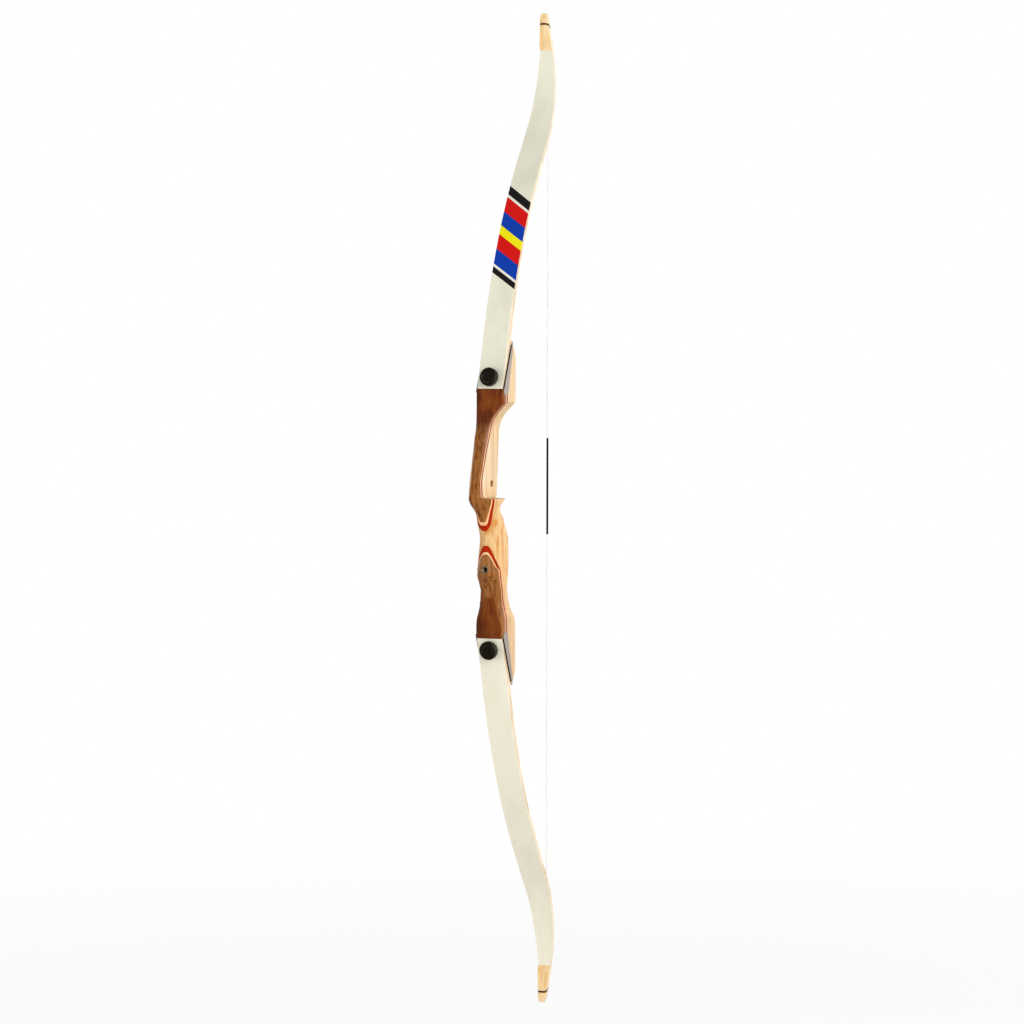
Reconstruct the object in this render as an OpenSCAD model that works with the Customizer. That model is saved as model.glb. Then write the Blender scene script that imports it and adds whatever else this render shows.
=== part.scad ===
// Take-down recurve bow, strung, for a right-handed archer.
// +X points at the target, +Y to the archer's left, +Z up the bow.
// The origin is the throat of the grip, the deepest point of its belly side.

/* [Riser] */
// Distance between the butts of the two limbs
butt_gap = 371; // [359:2:383]
// Length of the seat under each limb
seat_len = 69; // [64:1:74]
// How far the middle of the bow lies below the throat
mid_drop = 8; // [4:1:12]
// Tilt of each limb seat away from the target, in degrees
seat_tilt = 12.5; // [11.5:0.5:13.5]
// How far each limb seat starts behind the throat
seat_back = 4; // [2:0.5:6]
// Thickness of the riser behind the start of a limb seat
seat_depth = 29; // [27:0.5:32]
// Thickness left at the far end of a limb seat
seat_end_t = 2.5; // [2:0.25:4]
// Highest point of the nose, ahead of the throat
nose_reach = 39.5; // [37:0.5:43]
// Front of the slim neck of the grip, ahead of the throat
neck_reach = 23.5; // [22.5:0.25:24.5]
// Front of the swell round the stabiliser bushing, ahead of the throat
swell_reach = 25.5; // [24.5:0.5:28]
// Back of the palm swell, behind the throat
palm_reach = 32; // [29:0.5:35]
// Width of the grip on each side of the middle
grip_half_w = 17; // [15:0.25:18]

/* [Sight window] */
// How far the window is cut past the middle of the bow
past_centre = 3; // [1.5:0.5:5]
// Height of the arrow shelf above the throat
shelf_rise = 15; // [13:0.5:18]
// Half width of the riser at the arrow shelf
shelf_half_w = 17.5; // [16:0.25:19]
// Height of the straight wall above the shelf
window_h = 100; // [90:1:106]
// Radius of the curve at the top of the window
window_r = 40; // [32:1:46]
// Angle at which the window runs out through the side, in degrees
window_run_out = 45; // [40:1:50]
// Fillet between shelf and window wall
shelf_fillet = 4; // [3:0.5:5]

/* [Veneers and plates] */
// Thickness of each red veneer
red_t = 4; // [3.25:0.25:4.5]
// Thickness of each pale veneer
pale_t = 1.75; // [1.25:0.25:2.25]
// Thickness of the side plates
plate_t = 2.25; // [1.5:0.25:2.5]
// Depth of a side plate at its broad end
plate_w = 15.5; // [14:0.5:18]
// How far a side plate reaches past the butt, towards the grip
plate_lap = 10; // [8:0.5:12]
// Gap between a limb and each side plate
side_fit = 0.25; // [0.15:0.05:0.4]

/* [Limbs] */
// Width of a limb
limb_w = 41; // [39:0.5:44]
// Width of a limb tip across the nocks
tip_w = 14.5; // [13:0.5:16]
// Length of a limb along its belly face
limb_len = 604; // [600:1:616]
// Straight length from the butt, on and past the seat
flat_run = 90; // [84:1:98]
// Length of the long bend
bend_run = 260; // [250:2:270]
// Steepest tilt of the limb, in degrees
steep_tilt = 32.5; // [31.5:0.5:33.5]
// Length held at the steepest tilt
steep_run = 60; // [50:2:66]
// Length of the recurve bend
recurve_run = 150; // [144:1:156]
// Forward tilt of the tip, in degrees
tip_tilt = 9; // [7:0.5:11]
// Length over which the limb narrows to its tip
taper_run = 213; // [190:1:230]
// Gap between the butt of a limb and the riser
butt_fit = 0.3; // [0.2:0.05:0.5]

/* [Limb laminations] */
// Thickness of each glass facing
glass_t = 0.9; // [0.7:0.1:1.2]
// Thickness of each core at the butt
core_butt_t = 3.6; // [3.2:0.1:4]
// Thickness of each core at the tip
core_tip_t = 1.4; // [1.2:0.1:1.8]
// Thickness of the wedge between the cores at the butt
wedge_t = 4.6; // [4:0.2:5.2]
// Length of the wedge
wedge_len = 190; // [170:2:210]
// Thickness of the tip overlay
overlay_t = 3; // [2.5:0.25:3.5]
// Length of the tip overlay
overlay_len = 56; // [46:1:66]
// Distance of the nock from the end of the tip
nock_run = 18.5; // [16:0.5:20]

/* [Limb bolts] */
// Distance of the bolt from the limb's butt
bolt_run = 13.5; // [13:0.5:20]
// Diameter of the threaded stud
stud_d = 8; // [7:0.5:9]
// Length of thread in the riser
stud_bite = 15; // [12:0.5:16]
// Diameter of the knob
knob_d = 27.5; // [25:0.5:29]
// Thickness of the knob
knob_t = 10; // [8:0.5:11]
// Number of flutes round the knob
knob_flutes = 32; // [24:2:36]
// Diameter of the washer
washer_d = 22; // [19:0.5:23]
// Thickness of the washer
washer_t = 1.5; // [1:0.25:2]
// Outer diameter of the threaded insert
insert_d = 12; // [11:0.5:13]
// Length of the threaded insert
insert_len = 18; // [17:0.5:20]
// Distance of the locating pin from the limb's butt
pin_run = 45; // [42:1:50]
// Diameter of the locating pin
pin_d = 6; // [5:0.5:7]
// Length of the locating pin inside the riser
pin_bite = 10; // [8:0.5:11]
// Length of the locating pin inside the limb
pin_reach = 6; // [5:0.25:6.5]

/* [Bushings] */
// Bore of both accessory bushings, the tapping size of a 5/16 inch thread
bush_bore = 6.9; // [6.7:0.05:7.2]
// Outer diameter of the stabiliser bushing
stab_bush_d = 12; // [11:0.25:13]
// Length of the stabiliser bushing
stab_bush_len = 16; // [14:0.5:18]
// Depth of the stabiliser bushing's bore
stab_bore_depth = 14; // [12:0.5:15]
// Drop of the stabiliser bushing below the throat
stab_drop = 90.5; // [87:0.5:94]
// Outer diameter of the plunger bushing
plunger_bush_d = 10.5; // [9.5:0.25:11.5]
// Rise of the plunger bushing above the throat
plunger_rise = 36.5; // [34:0.5:40]
// How far the plunger bushing lies behind the throat
plunger_back = 3; // [0:0.5:5]

/* [String] */
// Diameter of the bare string
string_d = 2.4; // [2:0.1:2.8]
// Diameter of the string over the centre serving
serving_d = 3.2; // [3.1:0.1:3.6]
// Height of the nocking point above the throat
nock_rise = 38; // [35:0.5:42]
// Length of serving above the nocking point
serving_up = 62; // [50:1:75]
// Length of serving below the nocking point
serving_down = 84; // [70:1:95]
// Diameter of the served loops
loop_d = 2.2; // [1.8:0.1:2.4]
// Length of each loop below its nock
loop_len = 44; // [38:1:52]

/* [Hidden] */

// Clearances
running = 0.05;     // round the stud in its thread, and round anything pressed into wood
hole_fit = 0.6;     // round the stud where it passes the limb and the washer
pin_fit = 0.15;     // round the locating pin in the limb
string_gap = 0.3;   // between the string and what it lies on
feather = 0.3;      // thickness at which a feathering lamination stops
edge = 2.2;         // small bevel along the flat parts of the riser
over = 1;           // how far a cutting tool runs past the face it cuts

// Heights of the parts of the riser
half_gap = butt_gap / 2;
mid_z = -mid_drop;
ub = mid_z + half_gap;             // butt of the upper limb
lb = mid_z - half_gap;             // butt of the lower limb
u_end = ub + seat_len;
l_end = lb - seat_len;
arc_z = shelf_rise + window_h;     // where the window's wall starts to curve out
shelf_lip = 2;                     // rounding of the shelf's outer edge

// Depths of the parts of the riser
limb_butt_t = 2 * glass_t + 2 * core_butt_t + wedge_t;
face_x = -seat_back + limb_butt_t / cos(seat_tilt);
heel_x = -seat_back - seat_depth;
seat_end_x = -seat_back - seat_len * tan(seat_tilt);
half_w = limb_w / 2 + side_fit + plate_t;
stack_t = red_t + pale_t;

function clamp(v, lo, hi) = min(max(v, lo), hi);
function mix(a, b, t) = a + (b - a) * t;
function flat(lists) = [for (l = lists) each l];

// A smooth line through stations [place, value], without overshoot
function secant(p, i) = (p[i + 1][1] - p[i][1]) / (p[i + 1][0] - p[i][0]);
function slope(p, i) = i == 0 || i == len(p) - 1 ? 0 :
    let (a = secant(p, i - 1), b = secant(p, i)) a * b <= 0 ? 0 : 2 * a * b / (a + b);
function span(p, z, i = 0) = i >= len(p) - 2 || z <= p[i + 1][0] ? i : span(p, z, i + 1);
function along(p, z) =
    let (c = clamp(z, p[0][0], p[len(p) - 1][0]), i = span(p, c))
    let (w = p[i + 1][0] - p[i][0], t = (c - p[i][0]) / w)
    (2 * t ^ 3 - 3 * t ^ 2 + 1) * p[i][1] + (t ^ 3 - 2 * t ^ 2 + t) * w * slope(p, i)
    + (3 * t ^ 2 - 2 * t ^ 3) * p[i + 1][1] + (t ^ 3 - t ^ 2) * w * slope(p, i + 1);

// Side view of the riser: its back, towards the target
BACK = [
    [lb, face_x], [lb + 54, face_x], [lb + 57, face_x - 0.8], [lb + 67, face_x - 0.5],
    [-stab_drop - 22, swell_reach - 11.5], [-stab_drop - 13, swell_reach - 4],
    [-stab_drop - 5, swell_reach - 0.3], [-stab_drop + 6, swell_reach],
    [-67, neck_reach + 1.2], [-52, neck_reach], [-35, neck_reach + 1.8],
    [-22, neck_reach + 6.5], [-10, neck_reach + 9], [0, nose_reach - 4],
    [shelf_rise - 7, nose_reach - 0.8], [shelf_rise + 2, nose_reach],
    [shelf_rise + 13, nose_reach - 1], [mix(shelf_rise, arc_z, 0.42), nose_reach - 7.5],
    [mix(shelf_rise, arc_z, 0.7), nose_reach - 14.5], [arc_z - 14, face_x + 10.5],
    [arc_z + 2, face_x + 3.2], [arc_z + 20, face_x + 0.3], [ub, face_x]
];

// Side view of the riser: its belly, towards the archer
BELLY = [
    [l_end, seat_end_x - seat_end_t], [l_end + 9, heel_x + 5.5], [l_end + 26, heel_x],
    [lb + 16, heel_x], [lb + 30, heel_x + 1.2], [lb + 45, heel_x + 4.8],
    [lb + 60, heel_x + 7.5], [-118, -25], [-103, -27], [-86, -29.5],
    [-50, -palm_reach], [-38, 3.5 - palm_reach], [-30, 10 - palm_reach],
    [-22, 15.5 - palm_reach], [-15, 19.5 - palm_reach], [-7, -4.5], [0, 0], [6, -5],
    [shelf_rise - 1, -18], [shelf_rise + 4, -24], [plunger_rise, -25.5],
    [mix(shelf_rise, arc_z, 0.45), heel_x + 6], [mix(shelf_rise, arc_z, 0.75), heel_x + 3.5],
    [arc_z, heel_x + 0.8], [arc_z + 20, heel_x], [u_end - 26, heel_x],
    [u_end - 9, heel_x + 5.5], [u_end, seat_end_x - seat_end_t]
];

// Front view of the riser: half its width to the archer's right
RIGHT = [
    [lb + 18, half_w], [lb + 31, half_w - 0.9], [lb + 44, half_w - 4],
    [lb + 58, grip_half_w + 0.6], [-118, grip_half_w - 0.2], [-stab_drop, grip_half_w + 1],
    [-75, grip_half_w - 0.6], [-60, grip_half_w - 2.2], [-46, grip_half_w - 2.4],
    [-30, grip_half_w - 1], [-16, grip_half_w - 0.6], [-8, grip_half_w],
    [0, half_w - 3.5], [shelf_rise - 8, half_w - 0.9], [shelf_rise, half_w]
];

// Front view of the riser: half its width to the archer's left, below the shelf
LEFT = [
    [lb + 18, half_w], [lb + 31, half_w - 0.9], [lb + 44, half_w - 4],
    [lb + 58, grip_half_w + 0.6], [-118, grip_half_w - 0.2], [-stab_drop, grip_half_w + 0.7],
    [-70, grip_half_w], [-48, grip_half_w - 1], [-30, grip_half_w - 0.5],
    [-10, grip_half_w + 0.5], [shelf_rise - shelf_lip, shelf_half_w]
];

// Bevel along the edges of the back: its depth and its width, to the archer's right and left
DEPTH_RIGHT = [
    [lb + 24, edge], [lb + 36, 3], [lb + 47, 4], [lb + 60, 4.2], [lb + 80, 4], [-105, 5],
    [-stab_drop - 4, 10], [-stab_drop + 6, 11], [-74, 10.5], [-64, 9.5], [-50, 12], [-30, 17],
    [-8, 16], [shelf_rise - 5, 9], [shelf_rise + 5, 6], [arc_z - 29, 6], [arc_z - 3, 3],
    [arc_z + 20, edge]
];
DEPTH_LEFT = [
    [lb + 24, edge], [lb + 36, 3], [lb + 47, 4], [lb + 60, 4.2], [lb + 80, 4], [-105, 5],
    [-stab_drop - 1, 11], [-86, 17], [-80, 18], [-75, 17.5], [-66, 15], [-58, 15], [-46, 19],
    [-30, 28], [-4, 30], [shelf_rise - 8, 25], [shelf_rise - shelf_lip, 20]
];
WIDTH_RIGHT = [
    [lb + 24, edge], [lb + 36, 4], [lb + 47, 5], [lb + 54, 8], [lb + 61, 11.5],
    [-118, 13], [-105, 13], [-stab_drop, 11], [-76, 12.8], [-60, 14.2], [-46, 13.8],
    [-30, 14.2], [-12, 14], [0, 12], [shelf_rise, 7], [arc_z - 29, 6],
    [arc_z - 3, 3], [arc_z + 20, edge]
];
WIDTH_LEFT = [
    [lb + 24, edge], [lb + 36, 4], [lb + 47, 5], [lb + 54, 8.5], [lb + 61, 12.6],
    [-118, 13.7], [-105, 13.4], [-stab_drop, 12.2], [-78, 13], [-66, 13.4], [-58, 13.6],
    [-46, 15], [-30, 16.6], [-12, 17.2], [0, 17.6], [shelf_rise - shelf_lip, shelf_half_w]
];

// Form of the bevel: 1 is a flat facet, 2 a quarter of an ellipse
BEVEL_POWER = [
    [lb + 50, 1.1], [-stab_drop, 1.1], [-76, 1.1], [-66, 1.3], [-59, 1.6], [-46, 1.8], [-30, 2],
    [shelf_rise - 2, 2], [shelf_rise + 8, 1.2]
];

// Rounding along the edges of the belly: its depth and its width
ROUND_DEPTH = [
    [lb + 24, 3], [lb + 44, 7], [lb + 62, 11], [-stab_drop, 14], [-55, 15], [0, 14],
    [shelf_rise - shelf_lip, 14], [shelf_rise + 4, 5], [arc_z, 5], [arc_z + 25, 3]
];
ROUND_WIDTH = [
    [lb + 24, 3], [lb + 44, 8], [lb + 62, 12], [-stab_drop, 14], [-55, 15], [0, 15],
    [shelf_rise - shelf_lip, 15], [shelf_rise + 4, 5], [arc_z, 5], [arc_z + 25, 3]
];

// Glue line between the light block and the red veneers, in side view
GLUE = [
    [lb, -seat_back], [lb + 36, -seat_back - 0.3], [lb + 46, -seat_back + 0.6],
    [lb + 60, -seat_back + 3.2], [-121, -0.6], [-113, 2.2], [-stab_drop - 5, 7.6], [-84, 11.5],
    [-75, neck_reach - 8.5], [-66, neck_reach - 3.8], [-54, neck_reach], [-44, neck_reach + 1.6],
    [-34, neck_reach + 1.9], [-20, neck_reach + 1], [0, neck_reach + 1.2],
    [shelf_rise, neck_reach + 3], [plunger_rise, neck_reach + 5.5],
    [mix(shelf_rise, arc_z, 0.45), 22], [mix(shelf_rise, arc_z, 0.7), 13],
    [arc_z, 0], [arc_z + 22, -seat_back - 0.6], [ub, -seat_back]
];

function glue_x(z) = along(GLUE, z);
function back_x(z) = along(BACK, z);
function belly_x(z) = along(BELLY, z);
function seat_x(z) = -seat_back - (abs(z - mid_z) - half_gap) * tan(seat_tilt);
function on_seat(z) = abs(z - mid_z) > half_gap + 0.001;

// Left side of the riser: the wall, top curve and run-out of the window, then the shelf
run_out_z = arc_z + window_r * sin(window_run_out);
run_out_y = -past_centre + window_r * (1 - cos(window_run_out));
window_top = run_out_z + (half_w - run_out_y) / tan(window_run_out);
function window_y(z) =
    z >= window_top ? half_w :
    z >= run_out_z ? run_out_y + (z - run_out_z) * tan(window_run_out) :
    z >= arc_z ? -past_centre + window_r - sqrt(window_r ^ 2 - (z - arc_z) ^ 2) :
    z >= shelf_rise + shelf_fillet ? -past_centre :
    -past_centre + shelf_fillet - sqrt(max(0, shelf_fillet ^ 2 - (shelf_rise + shelf_fillet - z) ^ 2));
function lip_y(z) =
    let (t = clamp((z - shelf_rise + shelf_lip) / shelf_lip, 0, 1))
    along(LEFT, z) - shelf_lip * (1 - sqrt(1 - t ^ 2));
function left_y(z) = z > shelf_rise ? window_y(z) : lip_y(z);
function right_y(z) = -along(RIGHT, z);

in_window = function (z) z > shelf_rise && z < window_top;
window_edge = 2.5;  // rounding of the window's front edge
function bevel_depth(z, left) =
    !left ? along(DEPTH_RIGHT, z) :
    z > window_top ? edge : z > shelf_rise ? window_edge : along(DEPTH_LEFT, z);
function bevel_width(z, left) =
    !left ? along(WIDTH_RIGHT, z) :
    z > window_top ? edge : z > shelf_rise ? window_edge : along(WIDTH_LEFT, z);

// How far the side stands in from its full width at depth x, at height z
spare = 1.2;        // flat left at the middle where both roundings meet
function inset(x, z, left) =
    let (half = (left_y(z) - right_y(z)) / 2)
    let (rd = along(ROUND_DEPTH, z), rw = min(along(ROUND_WIDTH, z), half - spare))
    let (bd = bevel_depth(z, left), bw = min(bevel_width(z, left), half * 2 - 3))
    let (tb = clamp((belly_x(z) + rd - x) / rd, 0, 1))
    let (tf = on_seat(z) ? 0 : clamp((x - back_x(z) + bd) / bd, 0, 1), power = along(BEVEL_POWER, z))
    rw * (1 - sqrt(1 - tb ^ 2)) + bw * (1 - (1 - tf ^ power) ^ (1 / power));

// Cross-section at height z between two depths; the list of shares sets where its points lie
function section(z, x0, x1, shares) =
    let (xs = [for (s = shares) mix(x0, x1, s)])
    [
        for (x = xs) [x, left_y(z) - inset(x, z, true), z],
        for (i = [len(xs) - 1 : -1 : 0]) [xs[i], right_y(z) + inset(xs[i], z, false), z]
    ];

// Height between lo and hi at which the back lies a feather's thickness ahead of a glue line
function meeting(lo, hi, offset, n = 0) =
    let (m = (lo + hi) / 2, gap = back_x(m) - glue_x(m) - offset - feather)
    n > 24 ? m : gap > 0 ? meeting(lo, m, offset, n + 1) : meeting(m, hi, offset, n + 1);

// Where each lamination of the riser comes out through its back
throat_low = -46;
u_red = meeting(throat_low, shelf_rise, 0);
u_pale = meeting(throat_low, shelf_rise, red_t);
u_dark = meeting(throat_low, shelf_rise, stack_t);
l_red = meeting(throat_low, -stab_drop, 0);
l_pale = meeting(throat_low, -stab_drop, red_t);
l_dark = meeting(throat_low, -stab_drop, stack_t);

// Heights of the cross-sections, closer together where the form turns quickly
BREAKS = [
    [l_end, 4], [l_end + 14, 7], [l_end + 30, 20], [lb, 12], [lb + 22, 8], [lb + 54, 3],
    [lb + 60, 6],
    [-stab_drop - 26, 5], [-stab_drop, 5], [l_dark - 9, 2.3], [l_dark, 2.6], [l_pale, 2.5],
    [l_red, 2.5], [l_red + 5, 6.5], [u_red - 5, 2.5], [u_red, 2.2], [u_pale, 2.1], [u_dark, 2.3],
    [u_dark + 9, 5], [shelf_rise - 6, 3], [shelf_rise - shelf_lip, 1],
    [shelf_rise - 0.3, 1], [shelf_rise + 0.3, 1], [shelf_rise + 1.3, 2],
    [shelf_rise + shelf_fillet, 10], [arc_z, 6], [run_out_z, 5], [window_top, 8],
    [ub, 20], [u_end - 30, 7], [u_end - 14, 4], [u_end, 1]
];
HEIGHTS = [
    for (i = [0 : len(BREAKS) - 2])
        let (a = BREAKS[i][0], b = BREAKS[i + 1][0], n = max(1, ceil((b - a) / BREAKS[i][1])))
        for (k = [0 : n - 1]) mix(a, b, k / n),
    u_end
];

// Shares of the depth at which a section has its points
BLOCK_SHARES = [0, 0.02, 0.07, 0.15, 0.26, 0.38, 0.55, 0.72, 0.84, 0.91, 0.955, 0.985, 1];
BACK_SHARES = [0, 0.3, 0.55, 0.75, 0.88, 0.96, 1];
VENEER_SHARES = [0, 0.5, 1];

// A closed skin over rings of equal length; each ring runs up the left and down the right
module skin(rings) {
    n = len(rings[0]);
    m = len(rings);
    h = n / 2;
    cap = [for (i = [0 : h - 2]) each [[i, i + 1, n - 2 - i], [i, n - 2 - i, n - 1 - i]]];
    polyhedron(
        points = flat(rings),
        faces = [
            for (t = cap) [t[2], t[1], t[0]],
            for (t = cap) [for (k = [0, 1, 2]) t[k] + (m - 1) * n],
            for (r = [0 : m - 2]) for (i = [0 : n - 1])
                let (a = r * n + i, b = r * n + (i + 1) % n)
                each [[a, b, a + n], [b, b + n, a + n]]
        ]
    );
}

// A lamination of the riser between two heights; from and to give its depths at a height
module riser_slab(lo, hi, from, to, shares) {
    skin([
        for (z = HEIGHTS) if (z > lo - 0.001 && z < hi + 0.001)
            section(z, from(z), to(z), shares)
    ]);
}

// Sizes of the limb at a distance s from its butt, in the upper limb's place
hook_at = flat_run + bend_run + steep_run;
tip_at = hook_at + recurve_run;
nock_at = limb_len - nock_run;
function tilt_at(s) =
    s <= flat_run ? seat_tilt :
    s <= flat_run + bend_run ? mix(seat_tilt, steep_tilt, (s - flat_run) / bend_run) :
    s <= hook_at ? steep_tilt :
    s <= tip_at ? mix(steep_tilt, -tip_tilt, (s - hook_at) / recurve_run) :
    -tip_tilt;

// End of an arc or straight run of a given length that starts at p with tilt a and ends with tilt b
function run_end(p, a, b, length) =
    abs(b - a) < 0.001 ? p + length * [-sin(a), cos(a)] :
    let (r = length / ((b - a) * PI / 180)) p + r * [cos(b) - cos(a), sin(b) - sin(a)];
butt_p = [-seat_back - butt_fit * tan(seat_tilt), half_gap + butt_fit];
flat_p = run_end(butt_p, seat_tilt, seat_tilt, flat_run);
bend_p = run_end(flat_p, seat_tilt, steep_tilt, bend_run);
hook_p = run_end(bend_p, steep_tilt, steep_tilt, steep_run);
tip_p = run_end(hook_p, steep_tilt, -tip_tilt, recurve_run);
function belly_p(s) =
    let (a = tilt_at(s))
    s <= flat_run ? run_end(butt_p, seat_tilt, seat_tilt, s) :
    s <= flat_run + bend_run ? run_end(flat_p, seat_tilt, a, s - flat_run) :
    s <= hook_at ? run_end(bend_p, steep_tilt, steep_tilt, s - flat_run - bend_run) :
    s <= tip_at ? run_end(hook_p, steep_tilt, a, s - hook_at) :
    run_end(tip_p, -tip_tilt, -tip_tilt, s - tip_at);

// A point of the limb: s along it, y across it, v out from its belly face
function limb_point(s, y, v) =
    let (a = tilt_at(s), p = belly_p(s)) [p[0] + v * cos(a), y, mid_z + p[1] + v * sin(a)];

nose_len = 24;      // rounded end of the tip
nose_power = 2;
nose_end = 0.93;    // share of the rounding at which the tip is cut square
function half_width(s) =
    let (d = limb_len - s, t = clamp((d - nose_len) / taper_run, 0, 1))
    let (round_off = clamp((nose_len - d) / nose_len, 0, 1) * nose_end)
    (tip_w + (limb_w - tip_w) * sin(90 * t)) / 2 * (1 - round_off ^ nose_power) ^ (1 / nose_power);
function core_t(s) = mix(core_butt_t, core_tip_t, s / limb_len);
function wedge_at(s) = wedge_t * max(0, 1 - s / wedge_len);
wedge_end = wedge_len * (1 - feather / wedge_t);
function ramp(s) = overlay_t * clamp((s - limb_len + overlay_len) / 14 + 0.12, 0, 1);

// Distances out from the belly face of the faces between laminations
function level(s, k) =
    k == 0 ? 0 :
    k == 1 ? glass_t :
    k == 2 ? glass_t + core_t(s) :
    k == 3 ? glass_t + core_t(s) + wedge_at(s) :
    k == 4 ? glass_t + 2 * core_t(s) + wedge_at(s) :
    k == 5 ? 2 * glass_t + 2 * core_t(s) + wedge_at(s) :
    level(s, 5) + ramp(s);
tip_t = level(nock_at, 6);

// Places of the rings along a limb
LIMB_BREAKS = [
    [0, 60], [60, 60], [flat_run, 30], [wedge_end, 30], [flat_run + bend_run, 60],
    [hook_at, 10], [limb_len - overlay_len, 7], [limb_len - overlay_len + 12.4, 10],
    [nock_at - 5, 5], [nock_at, 4], [limb_len - 5, 2], [limb_len, 1]
];
PLACES = [
    for (i = [0 : len(LIMB_BREAKS) - 2])
        let (a = LIMB_BREAKS[i][0], b = LIMB_BREAKS[i + 1][0])
        let (n = max(1, ceil((b - a) / LIMB_BREAKS[i][1])))
        for (k = [0 : n - 1]) mix(a, b, k / n),
    limb_len
];

// A lamination of the limb between levels k and k + 1; the butt is cut level with the riser
function butt_skew(s, v) = v * tan(seat_tilt) * max(0, 1 - s / 60);
module limb_slab(k, lo = 0, hi = limb_len) {
    skin([
        for (s = PLACES) if (s > lo - 0.001 && s < hi + 0.001)
            let (w = half_width(s), a = level(s, k), b = level(s, k + 1))
            [
                limb_point(s - butt_skew(s, a), w, a), limb_point(s - butt_skew(s, b), w, b),
                limb_point(s - butt_skew(s, b), -w, b), limb_point(s - butt_skew(s, a), -w, a)
            ]
    ]);
}

// Puts children on the limb at distance s, with +X out of its back and +Z along it
module at_limb(s) {
    p = limb_point(s, 0, 0);
    translate(p) rotate([0, -tilt_at(s), 0]) children();
}

// A cylinder along +X between two depths
module rod_x(x0, x1, d, facets = 48) {
    translate([x0, 0, 0]) rotate([0, 90, 0]) cylinder(h = x1 - x0, d = d, $fn = facets);
}

// Turns something made for the upper limb into its lower counterpart
module lower() {
    translate([0, 0, 2 * mid_z]) mirror([0, 0, 1]) children();
}

// Holes and notches
module bolt_hole(d) {
    at_limb(bolt_run) rod_x(-over, limb_butt_t + over, d);
}

module pin_hole() {
    at_limb(pin_run) rod_x(-over, pin_reach + pin_fit * 2, pin_d + 2 * pin_fit);
}

nock_depth = 2.8;   // how deep the nocks are cut into the sides of the tip
nock_d = loop_d + 1.8;
nock_lean = 38;     // slope of the nocks, from the belly up towards the tip
groove_x = tip_t + loop_d / 2 - 0.7;
module nock_cut() {
    at_limb(nock_at)
    for (side = [-1, 1])
        translate([tip_t / 2, side * (tip_w / 2 - nock_depth + nock_d / 2), 0])
        rotate([0, -nock_lean, 0])
        rod_x(-12, 12, nock_d, 32);
}

module back_groove() {
    at_limb(nock_at)
    translate([groove_x, limb_w / 2, tip_t / 2 * tan(nock_lean)])
    rotate([90, 0, 0])
    cylinder(h = limb_w, d = loop_d + 0.8, $fn = 32);
}

insert_hole_len = insert_len + 2;
module insert_hole() {
    at_limb(bolt_run) rod_x(-insert_hole_len, over, insert_d + 2 * running);
}

module pin_seat() {
    at_limb(pin_run) rod_x(-pin_bite, over, pin_d + 2 * running);
}

module stab_hole() {
    translate([0, 0, -stab_drop])
        rod_x(swell_reach - stab_bush_len, swell_reach + 4, stab_bush_d + 2 * running);
}

plunger_len = half_w - past_centre;
module plunger_hole() {
    translate([-plunger_back, -half_w - over, plunger_rise])
        rotate([-90, 0, 0])
        cylinder(h = plunger_len + 2 * over, d = plunger_bush_d + 2 * running, $fn = 48);
}

// Side view of an upper side plate: its back edge runs along the seat, a little behind it
plate_front = face_x - 0.2;
plate_back = 4.8;
plate_tip_z = ub + seat_len + 1;
plate_tip_x = seat_end_x - 1;
PLATE_OUTLINE = [
    [plate_front, ub - plate_lap + 5.5], [plate_front - 4, ub - plate_lap + 1.5],
    [plate_front - plate_w + 4.5, ub - plate_lap], [plate_front - plate_w, ub - plate_lap + 2],
    [seat_end_x + 13 * tan(seat_tilt) - plate_back, u_end - 13],
    [plate_tip_x - 1.4, plate_tip_z], [plate_tip_x, plate_tip_z]
];

module plate_prism(y0, y1) {
    translate([0, y1, 0]) rotate([90, 0, 0])
        linear_extrude(height = y1 - y0) polygon(PLATE_OUTLINE);
}

module plate_recess() {
    plate_prism(half_w - plate_t, half_w + over);
    plate_prism(-half_w - over, plate_t - half_w);
}

module side_plate(side) {
    color([0.09, 0.085, 0.08])
    if (side > 0) plate_prism(half_w - plate_t, half_w);
    else plate_prism(-half_w, plate_t - half_w);
}

// Riser
module riser_belly_block() {
    color([0.91, 0.73, 0.47])
    difference() {
        riser_slab(
            l_end, u_end,
            function (z) belly_x(z),
            function (z) on_seat(z) ? seat_x(z) : min(glue_x(z), back_x(z)),
            BLOCK_SHARES
        );
        plate_recess();
        lower() plate_recess();
        insert_hole();
        lower() insert_hole();
        pin_seat();
        lower() pin_seat();
        plunger_hole();
        stab_hole();
    }
}

module back_block(lo, hi) {
    color([0.36, 0.17, 0.08])
    riser_slab(lo, hi, function (z) glue_x(z) + stack_t, function (z) back_x(z), BACK_SHARES);
}

module red_veneer(lo, hi) {
    color([0.66, 0.11, 0.05])
    riser_slab(
        lo, hi, function (z) glue_x(z),
        function (z) min(glue_x(z) + red_t, back_x(z)), VENEER_SHARES
    );
}

module pale_veneer(lo, hi) {
    color([0.96, 0.80, 0.58])
    riser_slab(
        lo, hi, function (z) glue_x(z) + red_t,
        function (z) min(glue_x(z) + stack_t, back_x(z)), VENEER_SHARES
    );
}

module upper_back_block() {
    difference() {
        back_block(u_dark, ub);
        plate_recess();
        plunger_hole();
    }
}

module lower_back_block() {
    difference() {
        back_block(lb, l_dark);
        lower() plate_recess();
        stab_hole();
    }
}

module upper_red_veneer() {
    difference() {
        red_veneer(u_red, ub);
        plate_recess();
    }
}

module lower_red_veneer() {
    difference() {
        red_veneer(lb, l_red);
        lower() plate_recess();
        stab_hole();
    }
}

module upper_pale_veneer() {
    difference() {
        pale_veneer(u_pale, ub);
        plate_recess();
    }
}

module lower_pale_veneer() {
    difference() {
        pale_veneer(lb, l_pale);
        lower() plate_recess();
        stab_hole();
    }
}

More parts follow.
